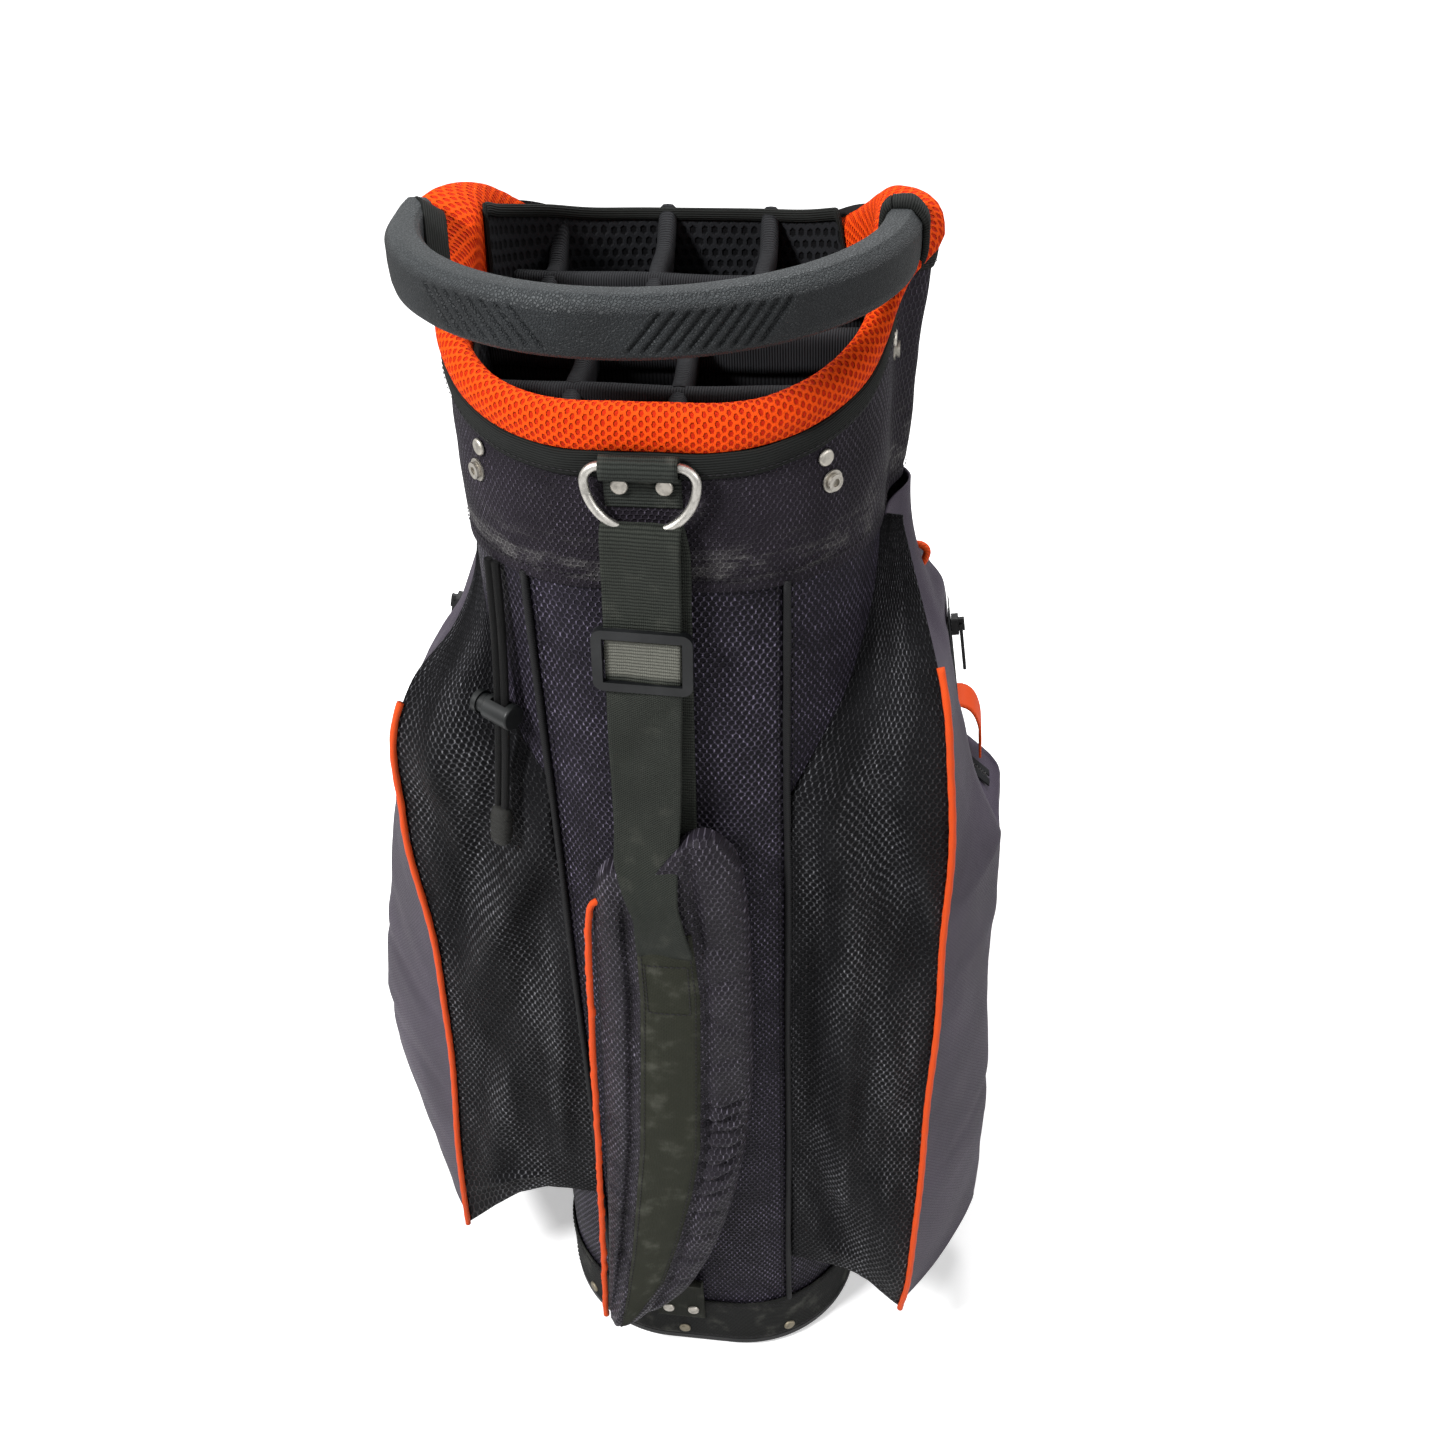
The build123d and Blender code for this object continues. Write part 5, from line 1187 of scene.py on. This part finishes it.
# The height and the depth of each gather beside the webbing.
GATHERS = ((338, 2.4), (323, 3.6), (309, 4.2), (294, 4.2), (278, 4.0), (261, 3.4), (242, 2.8), (220, 2.2), (194, 2.0),
           (166, 1.8), (140, 1.4))


def pad_surface():
    """The front of the pad: x, z and how far it stands out, over rows from the tip up and columns from the left."""
    rows, columns = 190, 65
    left, right = smooth_curve(PAD_LEFT, rows), smooth_curve(PAD_RIGHT, rows)
    u = np.linspace(-1, 1, columns)
    share = (u[None, :] + 1) / 2
    v = np.linspace(0, 1, rows)[:, None]
    x = left[:, :1] + (right[:, :1] - left[:, :1]) * share
    z = left[:, 1:2] + (right[:, 1:2] - left[:, 1:2]) * share
    # Two lobes at the top with a dip between them, under the strap.
    top = climb(v - 0.90, 0.10)
    z = z - 20.0 * bell(x + 9, 12.0) * top
    edge = (1 - np.abs(u) ** 4.5)[None, :] ** 0.5
    close = np.sqrt(np.clip(1 - (1 - np.clip(v / 0.05, 0, 1)) ** 2, 0, 1)) * np.sqrt(
        np.clip(1 - (1 - climb(1 - v, 0.05)) ** 2, 0, 1))
    body = edge * close
    rise = 18.5 * body + 1.6 * waves(x.shape, 75, 1.6, 2.0) * body
    # Gathers to the right of the webbing.
    beside = np.interp(z, *WEB_RIGHT) + 17
    for k, (zc, strong) in enumerate(GATHERS):
        line = z - zc - 0.20 * (x - 38) - 2.0 * np.sin(x / 6.5 + k * 1.7)
        near = bell(x - beside + 3 * math.sin(k * 2.1), 14)
        rise -= 1.5 * strong * bell(line, 3.0) * near * close
        rise += 0.8 * strong * bell(line - 6.5, 3.6) * near * close
    for k, (zc, strong) in enumerate(((486, 2.2), (452, 2.4), (418, 2.0), (380, 2.4))):
        rise -= strong * bell(z - zc - 0.4 * (x - 30) * (1 if k % 2 else -1), 5.0) * bell(x - 34, 18) * close
    # The sewn channels on both sides of the webbing, and small puckers along the left edge.
    channel = np.interp(z, *WEB_LEFT) - 6.5
    rise -= 4.5 * np.exp(-(np.abs(x - channel) / 3.2) ** 2.5) * close * climb(535 - z, 40)
    groove = np.interp(z, *WEB_RIGHT) + 4
    rise -= 3.0 * bell(x - groove, 3.2) * close
    for k, zc in enumerate((478, 452, 421, 396, 372, 341, 312, 290, 262, 231, 204, 178, 150, 122, 98)):
        rise -= (1.0 + 0.9 * (k % 3 == 0)) * bell(z - zc + 0.5 * (x + 46), 4.2) * bell(x + 46, 9) * close
    return x, z, np.maximum(rise, 0.3)


def pad_pieces():
    """The shoulder pad with its webbing, stitches and piping, and the tail below it."""
    x, z, rise = pad_surface()
    grid = np.stack([x, PAD_BACK - rise, z], -1)
    back = np.stack([x, np.full_like(x, PAD_BACK + 0.2), z], -1)
    pad = cloth_sheet("shoulder_pad_cloth", grid, uvs=np.stack([x, z], -1), inner=back)
    weld(pad)
    settle(pad, "bag", "pad", "shoulder_pad", slot="tube_fabric")
    # The webbing down its middle, which lies on the pad and dips into its ends.
    rows, columns = 170, 15
    t = np.linspace(0, 1, rows)
    zc = WEB_TOP + (WEB_LOW - WEB_TOP) * t
    left_edge, right_edge = np.interp(zc, *WEB_LEFT), np.interp(zc, *WEB_RIGHT)
    a = np.linspace(0, 1, columns)
    wx = left_edge[:, None] + (right_edge - left_edge)[:, None] * a[None, :]
    wz = zc[:, None] + (np.clip(t - 0.5, 0, 1) * 44)[:, None] * (a[None, :] - 0.5)
    spots = np.stack([x.ravel(), z.ravel()], -1)
    height = np.empty(wx.shape)
    for i in range(rows):
        gap = (spots[None, :, 0] - wx[i][:, None]) ** 2 + (spots[None, :, 1] - wz[i][:, None]) ** 2
        weight = np.exp(-gap / 60.0)
        height[i] = (weight * rise.ravel()[None, :]).sum(1) / np.maximum(weight.sum(1), 1e-9)
    arch = np.sin(np.pi * np.clip(a, 0.0, 1.0))[None, :] ** 0.6
    wy = PAD_BACK - np.maximum(height, height.mean(axis=1, keepdims=True)) - 1.2 - 1.6 * arch
    wy = wy - 0.5 * waves((rows, columns), 77, 1.0, 6.0)
    grid = np.stack([wx, wy, wz], -1)
    web = cloth_sheet("pad_centre_web", grid[::-1], 1.6)
    settle(web, "bag", "web_pad", "pad_webbing", slot="webbing")
    for side in (1, -1):
        column = 1 if side < 0 else columns - 2
        stitches(f"pad_stitching_{'l' if side < 0 else 'r'}", grid[:, column], (0, -1, 0), "stitch", "bag",
                 pitch=4.0, lift=0.3)
    box = [(-13, 430), (-13, 472), (14, 472), (14, 430), (-13, 430)]
    corners = evenly(box, 60)
    near = [np.argmin((wx - p[0]) ** 2 + (wz - p[1]) ** 2) for p in corners]
    depth = wy.ravel()[near]
    stitches("pad_box_stitching", np.stack([corners[:, 0], depth, corners[:, 1]], -1), (0, -1, 0), "stitch", "bag",
             pitch=3.6, lift=0.3)
    # Frayed orange piping on the left edge.
    piping = smooth_curve([(-40, -139, 514), (-47.5, -139.5, 498), (-53.5, -139.5, 405), (-60.5, -139.5, 260),
                           (-67.5, -139.5, 120), (-70.5, -140, 64)], 260)
    rng = np.random.default_rng(5)
    fray = np.convolve(rng.normal(0, 1, 260), np.ones(4) / 4, "same")
    piping[:, 0] += 0.5 * fray
    cord = tube_along("pad_edge_piping", piping, 2.1 + 0.35 * np.abs(fray))
    settle(cord, "bag", "orange_cord", "pad_piping", slot="orange_trim")
    # The tail that ties the pad down to the base.
    tail = [(0, -119.6, 38), (0, -120.2, 60), (0, -120.6, 80), (0, -121.6, 90), (0, -125.0, 95), (0, -130.0, 96)]
    band = ribbon("tail_web", tail, 40, 0, -14 + np.linspace(-19, 19, 13), 1.5)
    settle(band, "bag", "web_low", "strap_tail", slot="webbing")


# ---------------------------------------------------------------- umbrella cord
CORD_ROUTE = [(-92.2, -93.2, 721), (-92.8, -95, 690), (-94.4, -98, 652), (-99.2, -102.4, 593), (-103.8, -104.9, 555)]


def umbrella_cord():
    """The two strands of the umbrella cord."""
    side = Vector((0.85, -0.52, 0)).normalized()
    knot = knot_piece(side)
    for sign, name in ((-1, "left"), (1, "right")):
        curve = bpy.data.curves.new(f"cord_{name}", "CURVE")
        curve.dimensions = "3D"
        spline = curve.splines.new("NURBS")
        spline.points.add(len(CORD_ROUTE) - 1)
        points = [(Vector(p) + side * sign * 2.9) * MM for p in CORD_ROUTE]
        for point, place in zip(spline.points, points):
            point.co = (*place, 1.0)
        spline.order_u = 3
        spline.use_endpoint_u = True
        spline.resolution_u = 12
        curve.bevel_depth = 2.5 * MM
        curve.bevel_resolution = 5
        curve.use_fill_caps = True
        thing = bpy.data.objects.new(f"cord_{name}", curve)
        bpy.context.collection.objects.link(thing)
        settle(thing, "bag", "elastic", f"umbrella_cord_{name}", slot="elastic")


def knot_piece(side):
    """The crimped end that holds both strands."""
    end, before = Vector(CORD_ROUTE[-1]), Vector(CORD_ROUTE[-2])
    down = (end - before).normalized()
    across = np.array(side)
    depth = np.cross(np.array(down), across)
    t = np.linspace(0, 1, 34)
    turn = np.linspace(0, 2 * np.pi, 29)[:-1]
    rng = np.random.default_rng(9)
    loops = []
    for share in t:
        middle = np.array(end) + np.array(down) * (0.4 + 29.6 * share)
        full = (1 - abs(2 * share - 1) ** 6) ** 0.5 * 0.92 + 0.08
        rib = 1 + 0.05 * math.sin(share * 60)
        a, b = 7.4 * full * rib, 4.8 * full * rib
        fuzz = 1 + 0.035 * rng.normal(size=len(turn))
        loops.append([middle + across * a * math.copysign(abs(math.cos(w)) ** 0.8, math.cos(w)) * f
                      + depth * b * math.copysign(abs(math.sin(w)) ** 0.8, math.sin(w)) * f
                      for w, f in zip(turn, fuzz)])
    closed = closed_round(np.array(loops))
    thing = mesh_piece("cord_end", closed.reshape(-1, 3), quads(len(t), closed.shape[1]), grid_uv(closed))
    weld(thing, fill=True)
    return settle(thing, "bag", "fray", "cord_end_knot", slot="elastic")


# ---------------------------------------------------------------- side pockets
# A pocket's height, its corner's x and y, and how far its side reaches; None is between its neighbours.
RIGHT_SECTIONS = [(64, 158, -106, 176), (105, 162, -112, 206), (250, 166, -104, 214), (430, 169, -86, None),
                  (575, 166, -82, None), (620, 161, -78, 160), (716, 130, -22, 132)]
LEFT_SECTIONS = [(84, 192, -86, 214), (140, 189, -90, 244), (250, 180, -88, 248), (390, 173, -84, None),
                 (520, 178, -80, None), (609, 166, -80, 160), (630, 155, -74, None), (652, 135, -60, 150),
                 (676, 123, -44, None), (716, 120.5, -22, 132)]
# Heights, and how far the side reaches there in front of the zip.
RIGHT_BULGE = ((31, 184, 326, 464, 511, 576, 626, 655, 736), (214, 219, 208, 207, 187, 169, 160, 152, 133))
LEFT_BULGE = ((63, 130, 211, 275, 364, 435, 553, 591, 635, 707), (233, 246, 256, 256, 241, 225, 199, 178, 151, 126))
# The lower edge of the rear face, as heights at places along x, and the seam on the tube.
RIGHT_LOW_EDGE = ((73, 95, 115, 132, 146, 158), (113, 112, 107, 94, 77, 62))
LEFT_LOW_EDGE = ((73, 116, 141, 165, 192), (172, 166, 150, 124, 90))
SEAM = ((60, 575, 620, 716), (73, 73, 92, 118), (-104, -104, -82, -20))


def pocket_lines(sections, z):
    """Seam, corner and side reach of a pocket at each height, for the right side."""
    keys = [s[0] for s in sections]
    corner_x = table(keys, [s[1] for s in sections], z)
    corner_y = table(keys, [s[2] for s in sections], z)
    known = [(s[0], s[3]) for s in sections if s[3] is not None]
    reach = np.interp(z, [k for k, _ in known], [r for _, r in known])
    seam_x = np.interp(z, SEAM[0], SEAM[1])
    seam_y = np.interp(z, SEAM[0], SEAM[2])
    return seam_x, seam_y, corner_x, corner_y, reach


def press_under_zip(grid, name):
    """The cloth lies flat where the zip of this name is sewn on."""
    start, along, across, out, length, width = zip_frame(name)
    away = grid - start
    past_side = np.clip(np.abs(away @ across) - width / 2 - 2.0, 0, None) / 16.0
    run = away @ along
    past_end = np.clip(np.maximum(-6.0 - run, run - length - 6.0), 0, None) / 24.0
    hold = np.clip(1 - past_side, 0, 1) * np.clip(1 - past_end, 0, 1)
    hold = hold * hold * (3 - 2 * hold) * (grid[..., 0] * out[0] > 0)
    grid += out * ((-0.9 - away @ out) * hold)[..., None]


def side_pocket(side, sections, folds, low_edge, bulge, seed):
    """One side pocket, right for side 1 and left for side -1: mesh to the rear, cloth round the side, orange piping."""
    name = "right" if side > 0 else "left"
    low, high = sections[0][0], 719.0
    rows = 150
    z = np.linspace(low, high, rows)
    seam_x, seam_y, corner_x, corner_y, reach = pocket_lines(sections, np.clip(z, low, 716))
    # Rear face, from the seam on the tube to the piped corner.
    u = np.linspace(0, 1, 49)
    x = seam_x[:, None] + (corner_x - seam_x)[:, None] * u[None, :]
    y = seam_y[:, None] + (corner_y - seam_y)[:, None] * u[None, :]
    belly = np.sin(np.pi * u)[None, :] ** 0.8 * climb(high - z, 160)[:, None]
    push = 2.0 * belly + 1.3 * waves(x.shape, seed, 1.8, 1.4) * belly
    zz = np.repeat(z[:, None], len(u), 1)
    for start, end, width, height in folds:
        push += fold(x, zz, start, end, width, height) * np.clip(4 * u * (1.02 - u), 0, 1)[None, :] ** 0.4
    lift = np.interp(x, low_edge[0], low_edge[1])
    zz = zz + (lift - low) * np.clip(1 - (zz - low) / 130, 0, 1) ** 1.5
    grid = np.stack([x * side, y - push, zz], -1)
    rear = cloth_sheet(f"{name}_pocket_rear", grid if side > 0 else grid[:, ::-1], 1.2)
    settle(rear, "bag", "mesh", f"{name}_side_pocket", slot="pocket_mesh")
    # Side face, from the corner round to the far seam.
    t = np.linspace(0, 1, 71)
    grid = np.empty((rows, len(t), 3))
    # In front of the zip the cloth hangs out further than under it.
    full = np.maximum(np.interp(z, *bulge), reach)
    for i in range(rows):
        cx, cy, r = corner_x[i], corner_y[i], reach[i]
        line = smooth_curve([(cx, cy), (cx + 0.52 * (full[i] - cx), 0.60 * cy), (full[i] - 1.5, 0.10 * cy),
                             (full[i], 12), (r + 0.35 * (full[i] - r), 31), (r, 42), (r, 72),
                             (max(r - 22, 112), 92), (100, 96)], len(t))
        close = min(max((z[i] - 610.0) / 106.0, 0.0), 1.0) ** 1.3
        heading = np.degrees(np.arctan2(line[:, 0], -line[:, 1]))
        on_tube, _ = wall(heading, 2.6 + (13.0 if side > 0 else 2.0) * bell(line[:, 1] - 27, 24))
        line = line[:, :2] + (on_tube - line[:, :2]) * close
        grid[i, :, 0], grid[i, :, 1] = line[:, 0], line[:, 1]
        grid[i, :, 2] = z[i]
    normal = normals_of(grid)
    belly = np.sin(np.pi * t)[None, :] ** 0.7 * np.clip((high - z) / 200, 0.05, 1)[:, None]
    push = 2.2 * waves(grid.shape[:2], seed + 1, 1.6, 2.2) * belly
    for k in range(7):
        rng = np.random.default_rng(seed * 10 + k)
        zc, lean_by = rng.uniform(low + 40, 600), rng.uniform(-0.5, 0.5)
        push += rng.uniform(-2.2, 1.6) * np.exp(
            -((z[:, None] - zc - lean_by * 160 * (t[None, :] - 0.4)) / rng.uniform(8, 16)) ** 2) * belly
    grid = grid + normal * push[..., None]
    lift = np.clip(1 - (z - low) / 60, 0, 1)[:, None] ** 1.5 * (np.interp(corner_x[0], low_edge[0], low_edge[1]) - low)
    grid[..., 2] += lift * (1 - t[None, :]) ** 2
    grid[..., 0] *= side
    press_under_zip(grid, name)
    face = cloth_sheet(f"{name}_pocket_side", grid if side > 0 else grid[:, ::-1], 1.2)
    settle(face, "bag", "side", slot="pocket_fabric")
    # Floor of the pocket.
    first = np.concatenate([np.stack([x[0] * side, y[0], zz[0]], -1), grid[0, 1:]])
    middle = first.mean(axis=0) + np.array([-20.0 * side, 0, 4.0])
    rings = np.stack([middle + (first - middle) * k for k in (1.0, 0.75, 0.5, 0.25, 0.0)])
    rings[1:, :, 2] += 1.5
    floor = cloth_sheet(f"{name}_pocket_floor", rings if side < 0 else rings[:, ::-1], 1.2)
    weld(floor)
    settle(floor, "bag", "side", slot="pocket_fabric")
    # Orange piping on the corner.
    k = np.linspace(0, 1, 240)
    zp = low - 1 + k * ((648 if side > 0 else 612) - low)
    _, _, px, py, _ = pocket_lines(sections, np.clip(zp, low, 716))
    tip = np.interp(px, low_edge[0], low_edge[1]) - low
    zp = zp + tip * np.clip(1 - (zp - low) / 60, 0, 1)
    path = np.stack([(px + 1.2) * side, py - 1.6, zp], -1)
    path[:, 0] += 0.6 * np.sin(zp / 23 + seed)
    pipe = tube_along(f"{name}_pocket_piping", path, 2.25 + 0.12 * np.sin(zp / 3.1))
    settle(pipe, "bag", "orange_cord", *(["pocket_piping"] if side > 0 else []), slot="orange_trim")


# Folds of the rear face: start and end as (x, height), width, and how far each stands out or in.
RIGHT_FOLDS = [((84, 605), (110, 490), 14, 9.0), ((110, 500), (113, 205), 13, 10.0), ((120, 585), (160, 425), 12, -9.0),
               ((78, 535), (84, 240), 10, -7.5), ((85, 245), (112, 118), 12, -8.0), ((142, 545), (170, 420), 9, 6.5),
               ((152, 285), (171, 335), 12, -7.0), ((138, 218), (158, 88), 13, 8.0), ((124, 330), (121, 268), 8, -5.0),
               ((136, 400), (146, 300), 9, 5.5)]
LEFT_FOLDS = [((105, 682), (150, 560), 15, 9.0), ((151, 600), (154, 490), 12, 5.0), ((92, 604), (160, 405), 13, -10.0),
              ((72, 548), (152, 385), 13, 9.0), ((78, 478), (158, 255), 14, -9.0), ((112, 402), (164, 160), 14, 8.0),
              ((160, 552), (150, 482), 9, -5.0), ((84, 380), (98, 220), 8, 5.5), ((126, 160), (184, 134), 8, 5.0)]


# ---------------------------------------------------------------- pouches
def soft_box(name, corners, low, top, finish, node, seed, swell):
    """A sewn pouch: corners is its outline on plan, and top gives the height of its upper edge at x, y."""
    rows = 46
    outline = rounded(corners, 10.0, 120)
    middle = outline.mean(axis=0)
    n = len(outline)
    t = np.linspace(0, 1, rows)
    peak = top(outline[:, 0], outline[:, 1])
    z = low + t[:, None] * (peak - low)[None, :]
    edge = climb(t, 0.06) * climb(1 - t, 0.06)
    inset = (1 - np.sqrt(np.clip(1 - (1 - edge) ** 2, 0, 1))) * 6.0
    ahead = np.roll(outline, -1, 0) - np.roll(outline, 1, 0)
    normal = np.stack([ahead[:, 1], -ahead[:, 0]], -1)
    normal /= np.linalg.norm(normal, axis=1, keepdims=True)
    push = swell * 0.5 * np.sin(np.pi * t)[:, None] + swell * 0.5 * waves((rows, n), seed, 2.0, 1.5) - inset[:, None]
    push[:, -1] = push[:, 0]
    grid = stand_off(outline, normal, push, z)
    lids = (0.85, 0.6, 0.35, 0.12, 0.0)
    above = [np.stack([middle[0] + (grid[-1, :, 0] - middle[0]) * s, middle[1] + (grid[-1, :, 1] - middle[1]) * s,
                       top(middle[0] + (grid[-1, :, 0] - middle[0]) * s, middle[1] + (grid[-1, :, 1] - middle[1]) * s)
                       + 2.0 * (1 - s)], -1) for s in lids]
    below = [np.stack([middle[0] + (grid[0, :, 0] - middle[0]) * s, middle[1] + (grid[0, :, 1] - middle[1]) * s,
                       np.full(n, low - 1.5 * (1 - s))], -1) for s in lids]
    full = np.concatenate([np.stack(below[::-1]), grid, np.stack(above)])
    closed = closed_round(full)
    thing = mesh_piece(name, closed.reshape(-1, 3), quads(closed.shape[0], closed.shape[1]), grid_uv(closed))
    weld(thing)
    settle(thing, "bag", finish, node, slot="pocket_fabric")


def rounded(corners, radius, count):
    """A closed outline with rounded corners, evenly divided."""
    points = []
    corners = [np.array(c, float) for c in corners]
    for a, b, c in zip(corners[-1:] + corners[:-1], corners, corners[1:] + corners[:1]):
        first = b + (a - b) / np.linalg.norm(a - b) * radius
        last = b + (c - b) / np.linalg.norm(c - b) * radius
        for t in np.linspace(0, 1, 9):
            points.append((1 - t) ** 2 * first + 2 * t * (1 - t) * b + t ** 2 * last)
    return evenly(points + [points[0]], count, endpoint=False)


def pouches():
    """The three pouches, the orange tab and the loop at the end of a zip."""
    slope = math.tan(math.radians(42))
    soft_box("right_pouch_cloth", [(100, 98), (150, 70), (214, 76), (218, 176), (92, 176), (92, 112)], 208,
             lambda x, y: 446 - (np.clip(x, 104, 220) - 162) * slope, "pouch", "right_pouch", 101, 3.0)
    soft_box("ball_pocket_cloth", [(-86, 92), (86, 92), (86, 166), (64, 190), (-64, 190), (-86, 166)], 64,
             lambda x, y: np.full_like(x, 390), "pouch", "ball_pocket", 103, 3.0)
    soft_box("valuables_cloth", [(-60, 104), (60, 104), (60, 152), (48, 162), (-48, 162), (-60, 152)], 452,
             lambda x, y: np.full_like(x, 638), "side", "valuables_pocket", 105, 2.0)
    loop = [(162, 0, 438), (167, 0, 461), (177, 0, 471), (188, 0, 467), (195, 0, 450), (197, 0, 424)]
    tab = ribbon("pouch_pull_tab", loop, 26, 1, np.linspace(138, 168, 9), 1.8)
    settle(tab, "bag", "orange_tab", "pouch_tab", slot="orange_trim")
    loop = smooth_curve([(134, 42, 662), (141, 41, 665), (146, 40, 661), (143, 40, 652), (136, 40, 650)], 24)
    settle(tube_along("zip_end_loop", loop, 2.4), "bag", "orange_tab", slot="orange_trim")


# Each zip's pull hinge, its directions along and out, its length and its width.
ZIPS = {"right": ((170.8167, 51, 601.2811), (0.144416, 0, -0.989517), (0.989517, 0, 0.144416), 353.7, 26),
        "left": ((-170.5555, 51, 602.2308), (-0.236352, 0, -0.971668), (-0.971668, 0, 0.236352), 360.2, 26),
        "ball": ((48, 183.0335, 350.5803), (-1, 0, 0), (0, 0.997366, 0.072536), 120, 26),
        "valuables": ((32, 172, 610), (-1, 0, 0), (0, 1, 0), 88, 26),
        "pouch": ((134.6547, 132, 483.3869), (0.743145, 0, -0.669131), (0.669131, 0, 0.743145), 112, 20)}
ZIP_RISE = 1.8 + 0.3 + 4.5 + 1.35  # teeth, gap, slider and the pull's pin above it


def zip_frame(name):
    """The zip's start on the cloth, its directions along, across and out, its length and its width."""
    hinge, along, out, length, width = ZIPS[name]
    hinge, along, out = (np.array(k, float) for k in (hinge, along, out))
    return hinge - out * (ZIP_RISE + 0.05) - along * 12.0, along, np.cross(out, along), out, length, width


def zips():
    """The two tapes and the teeth of each zip."""
    for name in ZIPS:
        start, along, across, out, length, width = zip_frame(name)
        t = np.linspace(-2, length + 2, 60)
        for side in (-1, 1):
            a = np.linspace(1.6, width / 2, 6) * side
            grid = (start[None, None] + along[None, None] * t[:, None, None] + across[None, None] * a[None, :, None]
                    + out[None, None] * (0.9 - 0.5 * (np.abs(a) / (width / 2)) ** 4)[None, :, None])
            if side < 0:
                grid = grid[:, ::-1]
            tape_side = cloth_sheet(f"{name}_zip_tape_{'a' if side < 0 else 'b'}", grid, 0.7)
            settle(tape_side, "bag", "knit", *([f"{name}_zip"] if side < 0 else []), slot="webbing")
        at = np.arange(0, length, 1.5)
        stagger = np.where(np.arange(len(at)) % 2, 0.7, -0.7)
        spots = (start[None] + along[None] * at[:, None] + across[None] * stagger[:, None] + out[None] * 1.25)
        repeat(f"{name}_zip_teeth", spots, np.repeat(along[None], len(at), 0), np.repeat(out[None], len(at), 0),
               (1.0, 4.0, 1.3), "teeth", "bag", shape="block")


# ---------------------------------------------------------------- pieces kept from the frame
KEPT = {"d_ring": "ring", "snap_studs": "nickel", "collar_rivets": "nickel", "strap_rivets": "nickel",
        "base_rivets": "brass", "strap_slider": "gloss", "cord_lock_barrel": "lock", "cord_lock_plunger": "lock",
        "base_cup": "black", "base_feet": "foot", "collar_frame": "black", "handle_core": "black",
        "support_stays": "black"}


def dress_frame():
    """Finishes for the pieces that are shown as they are."""
    looks = dict(KEPT)
    for name in ZIPS:
        looks[f"{name}_zip_slider"] = "black"
        looks[f"{name}_zip_pull"] = "orange_tab" if name == "pouch" else "black"
    for node, finish in looks.items():
        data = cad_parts[node].data
        data.materials.clear()
        data.materials.append(FINISH[finish])


def studio():
    """The white floor, the white surround and the lamps."""
    f = Finish("pale_floor")
    x, y, _ = f.place()
    far = ((x * x + y * y).sqrt()).ramp(250.0, 1100.0)
    camera_ray = f.node("ShaderNodeLightPath", out="Is Camera Ray")
    plain = f.tree.nodes.new("ShaderNodeBsdfDiffuse")
    plain.inputs[0].default_value = (0.86, 0.86, 0.86, 1)
    lit = f.tree.nodes.new("ShaderNodeEmission")
    f.feed(lit.inputs[1], camera_ray * (0.42 + far * 0.6))
    both = f.tree.nodes.new("ShaderNodeAddShader")
    f.tree.links.new(plain.outputs[0], both.inputs[0])
    f.tree.links.new(lit.outputs[0], both.inputs[1])
    f.tree.links.new(both.outputs[0], f.out.inputs[0])
    reach, drop = 6000, -0.2
    floor = mesh_piece("floor", [(-reach, -reach, drop), (reach, -reach, drop), (reach, reach, drop),
                                 (-reach, reach, drop)], [(0, 1, 2, 3)])
    floor.data.materials.append(f.material)
    world = bpy.data.worlds.new("studio")
    world.use_nodes = True
    tree = world.node_tree
    tree.nodes.clear()
    out = tree.nodes.new("ShaderNodeOutputWorld")
    mixed = tree.nodes.new("ShaderNodeMixShader")
    soft, white = tree.nodes.new("ShaderNodeBackground"), tree.nodes.new("ShaderNodeBackground")
    for light, strength in ((soft, SOFT_LIGHT), (white, WHITE)):
        light.inputs[0].default_value, light.inputs[1].default_value = (1, 1, 1, 1), strength
    rays = tree.nodes.new("ShaderNodeLightPath")
    last = rays.outputs["Is Camera Ray"]
    for kind in ("Is Glossy Ray", "Is Transmission Ray"):
        top = tree.nodes.new("ShaderNodeMath")
        top.operation = "MAXIMUM"
        tree.links.new(last, top.inputs[0])
        tree.links.new(rays.outputs[kind], top.inputs[1])
        last = top.outputs[0]
    tree.links.new(last, mixed.inputs[0])
    tree.links.new(soft.outputs[0], mixed.inputs[1])
    tree.links.new(white.outputs[0], mixed.inputs[2])
    tree.links.new(mixed.outputs[0], out.inputs[0])
    bpy.context.scene.world = world
    for lamp in LAMPS:
        soft_light(*lamp)
    bpy.context.scene.view_settings.view_transform = "Standard"


aim_camera()
FINISH = make_finishes()
umbrella_cord()
base_pieces()
tube_panels()
cuff_pieces()
collar_pieces()
dividers()
handle_pieces()
strap_pieces()
pad_pieces()
side_pocket(1, RIGHT_SECTIONS, RIGHT_FOLDS, RIGHT_LOW_EDGE, RIGHT_BULGE, 111)
side_pocket(-1, LEFT_SECTIONS, LEFT_FOLDS, LEFT_LOW_EDGE, LEFT_BULGE, 121)
pouches()
zips()
dress_frame()
studio()
